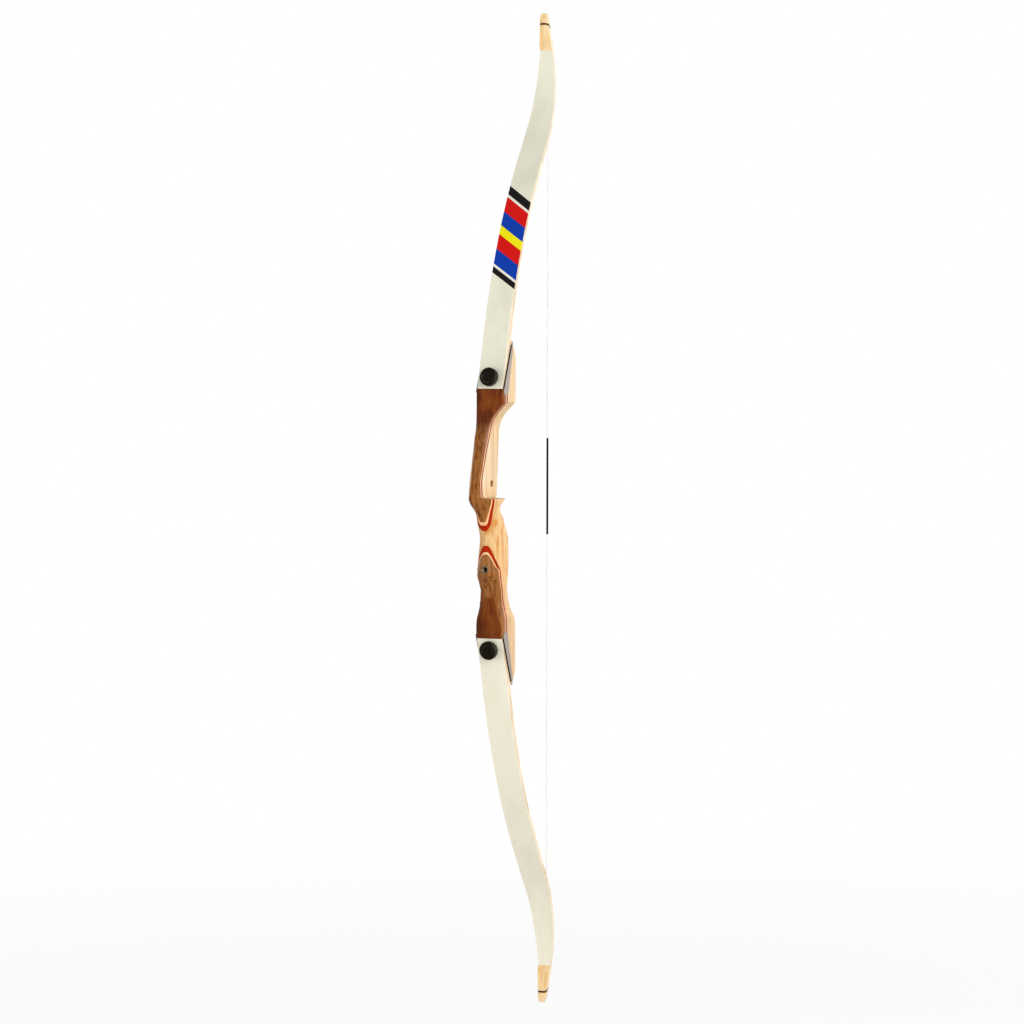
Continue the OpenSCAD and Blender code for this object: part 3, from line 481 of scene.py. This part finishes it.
@dataclass(frozen=True)
class Laminate:
    """Black laminate: a brown cast and faint layers, its face polished and painted paler as painted
    reflection, its sawn edge dull.
    """

    name: str
    body: str
    layer: str
    rough: float
    sheen: float
    glint: str = "FFFFFF"

    def make(self) -> bpy.types.Material:
        """Build the finish.

        Returns:
            Its material.
        """
        material, tree, surface, place = shader(self.name)
        layers = add(tree, "ShaderNodeTexNoise", {
            "Vector": scaled(tree, place, (3, 0.5, 45)), "Scale": 1.0, "Detail": 3.0, "Roughness": 0.6,
        })
        tree.links.new(ramp(tree, layers.outputs["Fac"], [(0.4, self.body), (0.7, self.layer)]),
                       surface.inputs["Base Color"])
        surface.inputs["Roughness"].default_value = self.rough
        surface.inputs["IOR"].default_value = VARNISH_IOR
        surface.inputs["Specular IOR Level"].default_value = self.sheen
        surface.inputs["Specular Tint"].default_value = linear(self.glint)
        return material


@dataclass(frozen=True)
class Thread:
    """Waxed thread: soft sheen, and fine fibres across the pull of the strand."""

    name: str
    body: str
    shade: str
    pitch_mm: float
    lean: float = 0.0
    relief: float = 0.5

    def make(self) -> bpy.types.Material:
        """Build the finish.

        Returns:
            Its material.
        """
        material, tree, surface, place = shader(self.name)
        fibre = add(tree, "ShaderNodeTexNoise", {
            "Vector": scaled(tree, place, (self.pitch_mm, self.pitch_mm, self.pitch_mm * 6)),
            "Scale": 1.0, "Detail": 3.0, "Roughness": 0.65,
        })
        turns = add(tree, "ShaderNodeTexWave", {
            "Vector": scaled(tree, place, (self.pitch_mm * BANDS_IN_UNIT,) * 3, (self.lean, 0, 0)),
            "Scale": 1.0, "Distortion": 0.6, "Detail": 1.0,
        }, wave_type="BANDS", bands_direction="Z")
        bump = add(tree, "ShaderNodeBump", {"Height": turns.outputs["Fac"], "Strength": self.relief,
                                            "Distance": RELIEF})
        tree.links.new(ramp(tree, fibre.outputs["Fac"], [(0.35, self.shade), (0.6, self.body)]),
                       surface.inputs["Base Color"])
        tree.links.new(bump.outputs[0], surface.inputs["Normal"])
        surface.inputs["Roughness"].default_value = 0.62
        surface.inputs["Specular IOR Level"].default_value = 0.06
        return material


# Varnished ash: pale, with long straight rings and dark pores that run with the bow, and warmer clouds
# of figure round the grip. Real pores are about 0.3 mm wide. They are drawn three times as wide, in
# every wood here, so that they show.
LIGHT_WOOD = Wood(
    "light ash block under varnish", "E4CAA0", "DABA8C", "BE925C", "946438", ring_mm=3.0,
    pore_share=0.6, gloss=0.42, sheen=0.16, run_mm=320, pore_run=140, wander=0.1,
    flame="ECBA70", flame_deep="D28A3C", flame_z=(-0.14, 0.012), flame_mm=(9.0, 12.0, 38.0),
    flame_from=0.5, flame_fade=(0.045, 0.03))
# Varnished walnut: deep red-brown at the limbs, streaked and paler between them, with a paler strip
# of painted light along the archer's left edge of the lower block and painted shade beside it.
DARK_WOOD = Wood(
    "dark walnut under varnish", "844312", "642A07", "3C1704", "220D03", ring_mm=6.0,
    pore_share=0.5, gloss=0.33, sheen=0.12, run_mm=45, wander=1.3, tilt=(0.35, 0.2, 0),
    flame="BC8042", flame_deep="784216", flame_z=(-0.133, 0.118), flame_mm=(4.5, 4.5, 42.0),
    flame_curl=0.8, edge_z=(-0.08, -0.175), edge_y=0.0195)
# Dyed veneer: an even red with a trace of grain, and browner above the shelf.
RED_VENEER = Wood(
    "red dyed veneer", "BA2E08", "A82605", "861A03", "5A1002", ring_mm=3, pore_share=0.25, gloss=0.45,
    sheen=0.06, flame="8E4830", flame_deep="7A3824", flame_z=(0.02, 0.3), flame_fade=(0.012, 0.012))
# Sliced maple without dye: a plain pale line with hardly any figure.
PALE_VENEER = Wood(
    "pale maple veneer", "FBCB98", "F5BC84", "EAAA70", "C4865A", ring_mm=3, pore_share=0.2, gloss=0.5,
    sheen=0.15)
# Lacquered maple, seen as pale edges between the glass facings: fine, straight and nearly plain.
CORE_WOOD = Wood(
    "lacquered maple core", "ECD9BC", "E0C9AA", "CFB08C", "AE8460", ring_mm=2.5, pore_share=0.25,
    gloss=0.5, sheen=0.15, run_mm=160, wander=0.1)
# Lacquered hardwood, filed to shape: warmer than the cores, and a little glossier.
TIP_WOOD = Wood(
    "lacquered tip overlay", "FBE0B0", "F5D098", "EBBE80", "C0905C", ring_mm=3.0, pore_share=0.25,
    gloss=0.4, sheen=0.2, run_mm=80, wander=0.3)
# Glass fibre pressed in white resin: smooth and creamy, with faint lines along the limb. Real fibres
# are about 0.01 mm thick, so bundles 1.2 mm wide stand for them.
WHITE_GLASS = GlassFacing("white glass facing")
# The same facing with a print under the resin: plain slanted bars, each of one flat colour.
PRINTED_GLASS = GlassFacing(
    "white glass facing with plain bars", "EEECD7", "E5E2CC", print_z=(0.338, 0.468),
    bars=((0.0, "0B0A0A"), (0.07, "EDE9DA"), (0.10, "0A3CAA"), (0.27, "D7140F"), (0.44, "F5EB14"),
          (0.54, "0A3CAA"), (0.70, "D7140F"), (0.87, "EDE9DA"), (0.90, "0B0A0A")))
# Paper in dark resin, polished: it mirrors the room, and its colour is painted paler than the edge's as
# painted reflection, so it looks grey from the side. Its layers are drawn 0.5 mm thick, twice as thick
# as real.
LAMINATE_FACE_PAINTED_PALE = Laminate("black laminate, polished face", "463626", "564230", rough=0.25, sheen=0.5,
                         glint="FFE8CC")
# The same as the saw left it: dull, and near black with a brown cast.
LAMINATE_EDGE = Laminate("black laminate, sawn edge", "22120A", "2E1A0E", rough=0.6, sheen=0.03)
# Aluminium, anodised and dyed: near black and satin. The dye hides the metal's mirror, so it isn't
# drawn as metallic.
BLACK_METAL = Metal("black anodised aluminium", "0E0B06", "1A150C", rough=0.42, metallic=0.0,
                    sheen=0.06)
# The same on the knob's fluted rim: a little paler, as painted light where the lamps catch it from the
# side, and shinier.
BLACK_METAL_LIT_RIM = Metal("black anodised aluminium, handled", "241E14", "3A3224", rough=0.4, metallic=0.0,
                   sheen=0.2)
# Brass from the lathe: warm, with darker patches where it has tarnished.
BRASS = Metal("turned brass", "96682E", "6E4A22", rough=0.32)
# Steel from the lathe: bright, with a clear mirror of the room.
STEEL = Metal("turned steel", "CCCAC6", "A8A59F", rough=0.24)
# Steel that weather has dulled: a grey-brown film and a softer mirror.
DULL_STEEL = Metal("weathered steel", "8C7A64", "5A4936", rough=0.34)
# Waxed polyester, twisted: near white and matt. Its fibres are finer than 0.1 mm and are drawn 0.5 mm
# wide.
WHITE_THREAD = Thread("waxed white string fibre", "FBFAF6", "F0EEE6", pitch_mm=0.5, relief=0.15)
# Nylon wound tightly round the string: black and matt, ribbed by its turns.
BLACK_THREAD = Thread("black serving thread", "1A1713", "0E0C0A", pitch_mm=0.6)
# Served loop, dark with wax: brown-black, its slanting turns drawn 0.9 mm apart, where 0.5 mm is real.
LOOP_THREAD = Thread("dark served loop", "4C240A", "2E1405", pitch_mm=0.9, lean=0.6)

MADE: dict[str, bpy.types.Material] = {}


def finish_of(kind: object) -> bpy.types.Material:
    """Give a finish's material, built once.

    Args:
        kind: A finish.

    Returns:
        The material.
    """
    if kind.name not in MADE:
        MADE[kind.name] = kind.make()
    return MADE[kind.name]


class End(Enum):
    """The two ends of the bow, with the direction of each along Z."""

    UPPER = 1
    LOWER = -1

    @property
    def word(self) -> str:
        """Word that starts this end's names."""
        return self.name.lower()


def at_end(end: End, x: float, z: float) -> Vector:
    """Place a point of the middle plane at either end, mirrored about the bow's middle.

    Args:
        end: End that gets the point.
        x: Its distance towards the target, in metres.
        z: Its height at the upper end, in metres.

    Returns:
        The point.
    """
    return Vector((x, 0, z if end is End.UPPER else 2 * MID_Z - z))


def piece_from(bm: bmesh.types.BMesh, name: str, body: str, kind: object, node: str,
               sharp: float) -> bpy.types.Object:
    """Make a piece of the bow from a mesh under construction.

    Args:
        bm: The mesh; it is freed.
        name: Name of the piece.
        body: Body that it rides on.
        kind: Its finish.
        node: CAD node that it stands for.
        sharp: Angle in degrees from which an edge stays sharp.

    Returns:
        The new object.
    """
    mesh = bpy.data.meshes.new(name)
    bm.to_mesh(mesh)
    bm.free()
    for polygon in mesh.polygons:
        polygon.use_smooth = True
    mesh.set_sharp_from_angle(angle=math.radians(sharp))
    piece = bpy.data.objects.new(name, mesh)
    bpy.context.scene.collection.objects.link(piece)
    mesh.materials.append(finish_of(kind))
    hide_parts(node)
    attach(piece, body)
    log.info("piece %s rides on %s: %d faces", name, body, len(mesh.polygons))
    return piece


def copied(node: str) -> bmesh.types.BMesh:
    """Copy a CAD node's mesh with its loose triangles joined.

    Args:
        node: Name of the CAD node.

    Returns:
        The mesh, ready to be shaped.
    """
    bm = bmesh.new()
    bm.from_mesh(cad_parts[node].data)
    bmesh.ops.remove_doubles(bm, verts=bm.verts, dist=COPIED_JOIN)
    bmesh.ops.dissolve_degenerate(bm, edges=bm.edges, dist=COPIED_JOIN / 2)
    return bm


def turned(profile: list[tuple[float, float]], steps: int) -> bmesh.types.BMesh:
    """Turn a closed profile about Z, as on a lathe.

    Args:
        profile: Radius and height of each corner, in order.
        steps: Steps in a full turn.

    Returns:
        The turned mesh.
    """
    bm = bmesh.new()
    verts = [bm.verts.new((radius, 0, height)) for radius, height in profile]
    edges = [bm.edges.new(pair) for pair in zip(verts, verts[1:] + verts[:1])]
    bmesh.ops.spin(bm, geom=verts + edges, cent=(0, 0, 0), axis=(0, 0, 1), angle=math.tau,
                   steps=steps, use_merge=True)
    bmesh.ops.remove_doubles(bm, verts=bm.verts, dist=TURNED_JOIN)
    bmesh.ops.recalc_face_normals(bm, faces=bm.faces)
    return bm


def dress(node: str, kind: object) -> None:
    """Give a CAD node that stays its finish.

    Args:
        node: Name of the CAD node.
        kind: Its finish.
    """
    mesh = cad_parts[node].data
    mesh.materials.clear()
    mesh.materials.append(finish_of(kind))
    log.info("node %s keeps its shape", node)


@dataclass
class Riser:
    """The glued handle: blocks, veneers, side plates and the fittings pressed into it."""

    # Bore of both bushings, and the thread and the bevels cut in them, in metres
    bush_bore: float = 0.0069
    thread_pitch: float = 0.00106
    thread_depth: float = 0.0004
    rim_bevel: float = 0.0002
    lead_in: float = 0.0003
    first_turn: float = 0.0007
    bore_cone: float = 0.0005
    turn_steps: int = 40
    # Height of the stabiliser's bushing, and depth of its bore
    stab_z: float = -0.0905
    stab_depth: float = 0.014
    # X and Z of the plunger's bushing
    plunger_at: tuple[float, float] = (-0.003, 0.0365)
    # How squarely a face of a side plate looks sideways, from 0 to 1, for it to be polished and painted
    # paler
    plate_face: float = 0.9

    def build(self) -> None:
        """Build every piece of the riser."""
        self.block("riser_belly_block", LIGHT_WOOD)
        for end in End:
            self.block(f"{end.word}_back_block", DARK_WOOD)
            self.block(f"{end.word}_red_veneer", RED_VENEER)
            self.block(f"{end.word}_pale_veneer", PALE_VENEER)
            for side in ("left", "right"):
                self.plate(f"{end.word}_{side}_plate")
            dress(f"{end.word}_bolt_insert", BRASS)
            dress(f"{end.word}_locating_pin", STEEL)
        self.stabiliser_bushing()
        self.plunger_bushing()

    def block(self, node: str, kind: Wood) -> None:
        """Smooth a copy of one of the sawn and shaped pieces of wood.

        Args:
            node: CAD node that gives the shape.
            kind: Its wood.
        """
        piece_from(copied(node), f"{node}_shaped", "riser", kind, node, SHAPED)

    def plate(self, node: str) -> None:
        """Copy a side plate, with its broad faces polished and painted paler as painted reflection, and
        its edges left as sawn.

        Args:
            node: CAD node that gives the shape.
        """
        piece = piece_from(copied(node), f"{node}_polished", "riser", LAMINATE_EDGE, node,
                           SAWN)
        piece.data.materials.append(finish_of(LAMINATE_FACE_PAINTED_PALE))
        # painted reflection: faces that look sideways take the paler polished copy
        for polygon in piece.data.polygons:
            polygon.material_index = int(abs(polygon.normal.y) > self.plate_face)

    def threaded_ring(self, outer: float, bore: float, length: float, depth: float,
                      through: bool) -> bmesh.types.BMesh:
        """Turn a bushing with an inner thread about Z, its face at zero and its length downwards.

        Args:
            outer: Outer radius.
            bore: Radius of the thread's crests.
            length: Length of the bushing.
            depth: Depth of the bore.
            through: Whether the bore runs right through.

        Returns:
            The turned mesh.
        """
        rim, crest, root = self.rim_bevel, bore, bore + self.thread_depth
        profile = [(outer, -length), (outer, -rim), (outer - rim, 0.0)]
        profile += [(root + self.lead_in, 0.0), (crest, -self.first_turn)]
        for i in range(int((depth - 2 * self.first_turn) / self.thread_pitch)):
            top = -self.first_turn - i * self.thread_pitch
            profile += [(root, top - self.thread_pitch * 0.5), (crest, top - self.thread_pitch)]
        if through:
            profile += [(root, -length)]
        else:
            profile += [(crest, -depth), (0.0, -depth - self.bore_cone), (0.0, -length)]
        return turned(profile, self.turn_steps)

    def stabiliser_bushing(self) -> None:
        """Turn the threaded bushing in the swell below the grip."""
        node = "stabiliser_bushing"
        low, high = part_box(node)
        bm = self.threaded_ring((high[1] - low[1]) / 2, self.bush_bore / 2, high[0] - low[0],
                                self.stab_depth, False)
        bmesh.ops.transform(bm, verts=bm.verts, matrix=Matrix.Translation((high[0], 0, self.stab_z))
                            @ Matrix.Rotation(math.pi / 2, 4, "Y"))
        piece_from(bm, f"{node}_threaded", "riser", DULL_STEEL, node, TURNED)

    def plunger_bushing(self) -> None:
        """Turn the threaded bushing that runs through the window's wall."""
        node = "plunger_bushing"
        low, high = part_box(node)
        length = high[1] - low[1]
        bm = self.threaded_ring((high[0] - low[0]) / 2, self.bush_bore / 2, length, length, True)
        x, z = self.plunger_at
        bmesh.ops.transform(bm, verts=bm.verts, matrix=Matrix.Translation((x, high[1], z))
                            @ Matrix.Rotation(-math.pi / 2, 4, "X"))
        piece_from(bm, f"{node}_threaded", "riser", BRASS, node, TURNED)


@dataclass
class Limb:
    """One limb: its laminations, and the tip's overlay that rides on its end."""

    end: End
    # X and Z, at the upper end, where the bend starts and where it has become the whole turn
    root: tuple[float, float] = (-0.010, 0.246)
    free: tuple[float, float] = (-0.186, 0.664)

    def build(self) -> None:
        """Build the laminations and the overlay."""
        word = self.end.word
        back = PRINTED_GLASS if self.end is End.UPPER else WHITE_GLASS
        for part, kind, slot in (
            ("limb_back_glass", back, "white_glass"), ("limb_front_core", CORE_WOOD, "core_wood"),
            ("limb_wedge", CORE_WOOD, "core_wood"), ("limb_rear_core", CORE_WOOD, "core_wood"),
            ("limb_belly_glass", WHITE_GLASS, "white_glass"),
        ):
            self.lamination(f"{word}_{part}", kind)
        node = f"{word}_tip_overlay"
        piece_from(copied(node), f"{node}_shaped", f"{word}_limb", TIP_WOOD, node, PRESSED)

    def lamination(self, node: str, kind: object) -> None:
        """Make a lamination from a copy of its CAD node.

        Args:
            node: CAD node that gives the shape.
            kind: Its finish.
        """
        piece = piece_from(copied(node), f"{node}_bent", f"{self.end.word}_limb", kind, node,
                           PRESSED)
        piece.parent = None
        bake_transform(piece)


@dataclass
class LimbBolt:
    """One limb bolt: knob, stud and washer, as the CAD makes them."""

    end: End
    # How far a face of the knob looks along the bow's depth, from 0 to 1, for it to be its top
    knob_top: float = 0.8

    def build(self) -> None:
        """Dress the bolt's three parts."""
        word = self.end.word
        for part, kind, slot, body in (
            ("bolt_knob", BLACK_METAL, "black_metal", "bolt_turn"),
            ("bolt_stud", STEEL, "steel", "bolt_turn"),
            ("bolt_washer", BLACK_METAL, "black_metal", "bolt_slide"),
        ):
            node = f"{word}_{part}"
            piece = piece_from(copied(node), f"{node}_turned", f"{word}_{body}", kind, node,
                               TURNED)
            if part == "bolt_knob":
                self.paint_rim_light(piece)

    def paint_rim_light(self, knob: bpy.types.Object) -> None:
        """Give the fluted rim of a knob a paler finish, as painted light where the lamps catch it.

        Args:
            knob: The knob.
        """
        # painted light: the rim's faces take the paler copy of the black finish
        knob.data.materials.append(finish_of(BLACK_METAL_LIT_RIM))
        for polygon in knob.data.polygons:
            polygon.material_index = int(abs(polygon.normal.x) < self.knob_top)


@dataclass
class BowString:
    """The taut string: twisted strands, served loops and the serving at its middle."""

    line_x: float = -0.18871
    nock_z: float = 0.038
    radius: float = 0.0012
    strands: int = 8
    # Radius of the hollows between the strands, as a share of the string's
    hollow: float = 0.8
    # Length of one twist, and of each step along it
    lay: float = 0.011
    step: float = 0.0022
    serving_radius: float = 0.0016
    # Real serving turns are 0.5 mm apart; they are wound 0.8 mm apart so that they show
    serving_pitch: float = 0.0008
    serving_gap: float = 0.00005
    serving_groove: float = 0.00012
    serving_steps: int = 20
    # X and Z of the upper half's last stretch, where it follows the tip
    upper_bend: tuple[tuple[float, float], ...] = (
        (-0.18871, 0.65453), (-0.18871, 0.66653), (-0.18868, 0.67007), (-0.18859, 0.6736),
        (-0.18844, 0.67713), (-0.18823, 0.68065))

    def build(self) -> None:
        """Build both halves of the string with what is wound on them."""
        for end in End:
            self.half(end)
            self.serving(end)
            self.loop(end)

    def route(self, end: End) -> list[Vector]:
        """Lay out the path of one half of the string.

        Args:
            end: Which half.

        Returns:
            Points from the nocking point to the loop.
        """
        return [Vector((self.line_x, 0, self.nock_z))] + [at_end(end, x, z) for x, z in self.upper_bend]

    def half(self, end: End) -> None:
        """Twist one half of the string along its route.

        Args:
            end: Which half.
        """
        points = self.route(end)
        places = [points[0]]
        for a, b in zip(points, points[1:]):
            n = max(1, round((b - a).length / self.step))
            places += [a.lerp(b, (i + 1) / n) for i in range(n)]
        bm = bmesh.new()
        ring = bmesh.ops.create_circle(bm, segments=self.strands * 3, radius=self.radius,
                                       cap_ends=False)["verts"]
        for i, vert in enumerate(ring):
            vert.co *= 1.0 if i % 3 else self.hollow
        bmesh.ops.transform(bm, verts=ring, matrix=Matrix.Translation(places[0]))
        start, edges = list(ring), list(bm.edges)
        turn = end.value * math.tau * self.step / self.lay
        for a, b in zip(places, places[1:]):
            out = bmesh.ops.extrude_edge_only(bm, edges=edges)["geom"]
            ring = [g for g in out if isinstance(g, bmesh.types.BMVert)]
            edges = [g for g in out if isinstance(g, bmesh.types.BMEdge)
                     and g.verts[0] in ring and g.verts[1] in ring]
            move = Matrix.Translation(b) @ Matrix.Rotation(turn, 4, "Z") @ Matrix.Translation(-a)
            bmesh.ops.transform(bm, verts=ring, matrix=move)
        bmesh.ops.contextual_create(bm, geom=start)
        bmesh.ops.contextual_create(bm, geom=ring)
        bmesh.ops.recalc_face_normals(bm, faces=bm.faces)
        piece_from(bm, f"{end.word}_twisted_string", f"{end.word}_string_half", WHITE_THREAD,
                   f"{end.word}_string", TWISTED)

    def serving(self, end: End) -> None:
        """Wind one half of the centre serving.

        Args:
            end: Which half.
        """
        node = f"{end.word}_centre_serving"
        low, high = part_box(node)
        inner, outer = self.radius + self.serving_gap, self.serving_radius
        groove = outer - self.serving_groove
        count = int((high[2] - low[2]) / self.serving_pitch)
        pitch = (high[2] - low[2]) / count
        profile = [(inner, low[2]), (groove, low[2])]
        for i in range(count):
            z = low[2] + i * pitch
            profile += [(outer, z + pitch * 0.5), (groove, z + pitch)]
        bm = turned(profile + [(inner, high[2])], self.serving_steps)
        bmesh.ops.translate(bm, verts=bm.verts, vec=(self.line_x, 0, 0))
        piece_from(bm, f"{node}_wound", f"{end.word}_string_half", BLACK_THREAD, node, WOUND)

    def loop(self, end: End) -> None:
        """Smooth the served loop round the tip.

        Args:
            end: Which loop.
        """
        node = f"{end.word}_loop_serving"
        piece = piece_from(copied(node), f"{node}_wound", f"{end.word}_limb", LOOP_THREAD,
                           node, ROUNDED)
        round_off = piece.modifiers.new("round", "SUBSURF")
        round_off.levels = round_off.render_levels = 1


@dataclass
class Studio:
    """Plain pale floor, soft lights and the camera."""

    floor_half: float = 9.0
    floor_gap: float = 0.004
    # Share of white that the floor shows the camera close to the bow, and where it starts and ends
    floor_near: float = 0.85
    floor_fade: tuple[float, float] = (1.0, 3.0)
    sky_light: float = 0.34
    # Each lamp's name, place and width in metres, watts, and whether gloss shows it
    lamps: tuple[tuple[str, tuple[float, float, float], float, float, bool], ...] = (
        ("key", (1.9, 3.0, 0.9), 2.4, 88, True), ("fill", (2.6, -2.4, 0.5), 2.6, 35, False),
        ("edge", (0.35, 3.5, 0.1), 1.0, 14, True), ("side", (-3.6, 1.72, 0.2), 2.2, 44, True),
        ("rear", (-2.4, -2.6, 0.9), 2.6, 34, True))
    # The camera looks from these angles at a target, which the picture shows at target_px
    azimuth: float = 25.55
    elevation: float = 2.21
    distance: float = 8.192
    scale_mm: float = 1.518
    target: tuple[float, float, float] = (-0.1887, 0.0, 0.0)
    target_px: tuple[float, float] = (547.3, 503.9)
    roll: float = 0.124
    frame_px: int = 1024

    def build(self) -> None:
        """Set the stage, the lights and the camera."""
        self.floor()
        self.sky()
        for lamp in self.lamps:
            self.lamp(*lamp)
        self.camera()
        bpy.context.scene.view_settings.view_transform = "Standard"

    def floor(self) -> None:
        """Lay a pale floor just under the lower tip."""
        bm = bmesh.new()
        bmesh.ops.create_grid(bm, x_segments=8, y_segments=8, size=self.floor_half)
        bmesh.ops.translate(bm, verts=bm.verts, vec=(0, 0, CAD_BOX[0][2] - self.floor_gap))
        mesh = bpy.data.meshes.new("floor")
        bm.to_mesh(mesh)
        bm.free()
        floor = bpy.data.objects.new("floor", mesh)
        bpy.context.scene.collection.objects.link(floor)
        material, tree, surface, place = shader("plain pale floor")
        surface.inputs["Base Color"].default_value = linear("F2F2F0")
        surface.inputs["Roughness"].default_value = 0.9
        glow = add(tree, "ShaderNodeEmission", {"Color": (1, 1, 1, 1), "Strength": 1.0})
        seen = add(tree, "ShaderNodeLightPath")
        away = add(tree, "ShaderNodeVectorMath", {0: place}, operation="LENGTH")
        white = add(tree, "ShaderNodeMapRange", {
            "Value": away.outputs["Value"], "From Min": self.floor_fade[0],
            "From Max": self.floor_fade[1], "To Min": self.floor_near, "To Max": 1.0})
        share = add(tree, "ShaderNodeMath", {0: seen.outputs["Is Camera Ray"], 1: white.outputs[0]},
                    operation="MULTIPLY")
        both = add(tree, "ShaderNodeMixShader",
                   {0: share.outputs[0], 1: surface.outputs[0], 2: glow.outputs[0]})
        tree.links.new(both.outputs[0], tree.nodes["Material Output"].inputs["Surface"])
        mesh.materials.append(material)

    def sky(self) -> None:
        """Light the room softly, and show it white to the camera and in reflections."""
        world = bpy.data.worlds.new("soft room")
        bpy.context.scene.world = world
        world.use_nodes = True
        tree = world.node_tree
        path = add(tree, "ShaderNodeLightPath")
        first = add(tree, "ShaderNodeMath", {
            0: path.outputs["Is Camera Ray"], 1: path.outputs["Is Glossy Ray"]}, operation="MAXIMUM")
        seen = add(tree, "ShaderNodeMath", {
            0: first.outputs[0], 1: path.outputs["Is Transmission Ray"]}, operation="MAXIMUM")
        power = add(tree, "ShaderNodeMapRange", {
            "Value": seen.outputs[0], "To Min": self.sky_light, "To Max": 1.0})
        tree.links.new(power.outputs[0], tree.nodes["Background"].inputs["Strength"])
        tree.nodes["Background"].inputs["Color"].default_value = (1, 1, 1, 1)

    def lamp(self, name: str, place: tuple[float, float, float], size: float, power: float,
             mirrored: bool) -> None:
        """Hang a soft lamp that faces the bow.

        Args:
            name: Name of the lamp.
            place: Where it hangs, in metres.
            size: Width of the soft box, in metres.
            power: Watts.
            mirrored: Whether gloss shows it.
        """
        data = bpy.data.lights.new(name, "AREA")
        data.shape = "SQUARE"
        data.size = size
        data.energy = power
        lamp = bpy.data.objects.new(name, data)
        aim = (-Vector(place)).to_track_quat("-Z", "Y").to_matrix().to_4x4()
        lamp.matrix_world = Matrix.Translation(place) @ aim
        lamp.visible_glossy = mirrored
        bpy.context.scene.collection.objects.link(lamp)

    def camera(self) -> None:
        """Set the camera as the photograph has it."""
        turn, rise = math.radians(self.azimuth), math.radians(self.elevation)
        back = Vector((math.cos(turn) * math.cos(rise), math.sin(turn) * math.cos(rise),
                       math.sin(rise)))
        place = Vector(self.target) + back * self.distance
        data = bpy.data.cameras.new("camera")
        data.sensor_fit = "HORIZONTAL"
        width = self.frame_px * self.scale_mm * MM
        data.lens = data.sensor_width * self.distance / width
        data.shift_x = -(self.target_px[0] - self.frame_px / 2) / self.frame_px
        data.shift_y = (self.target_px[1] - self.frame_px / 2) / self.frame_px
        data.clip_end = 60
        camera = bpy.data.objects.new("camera", data)
        aim = (-back).to_track_quat("-Z", "Y").to_matrix().to_4x4()
        camera.matrix_world = (Matrix.Translation(place) @ aim
                               @ Matrix.Rotation(math.radians(self.roll), 4, "Z"))
        bpy.context.scene.collection.objects.link(camera)
        bpy.context.scene.camera = camera


def main() -> None:
    """Build the bow and its studio."""
    logging.basicConfig(level=logging.INFO, format="%(message)s")
    Studio().build()
    Riser().build()
    for end in End:
        Limb(end).build()
        LimbBolt(end).build()
    BowString().build()
    bpy.context.view_layer.update()


if __name__ == "__main__":
    main()
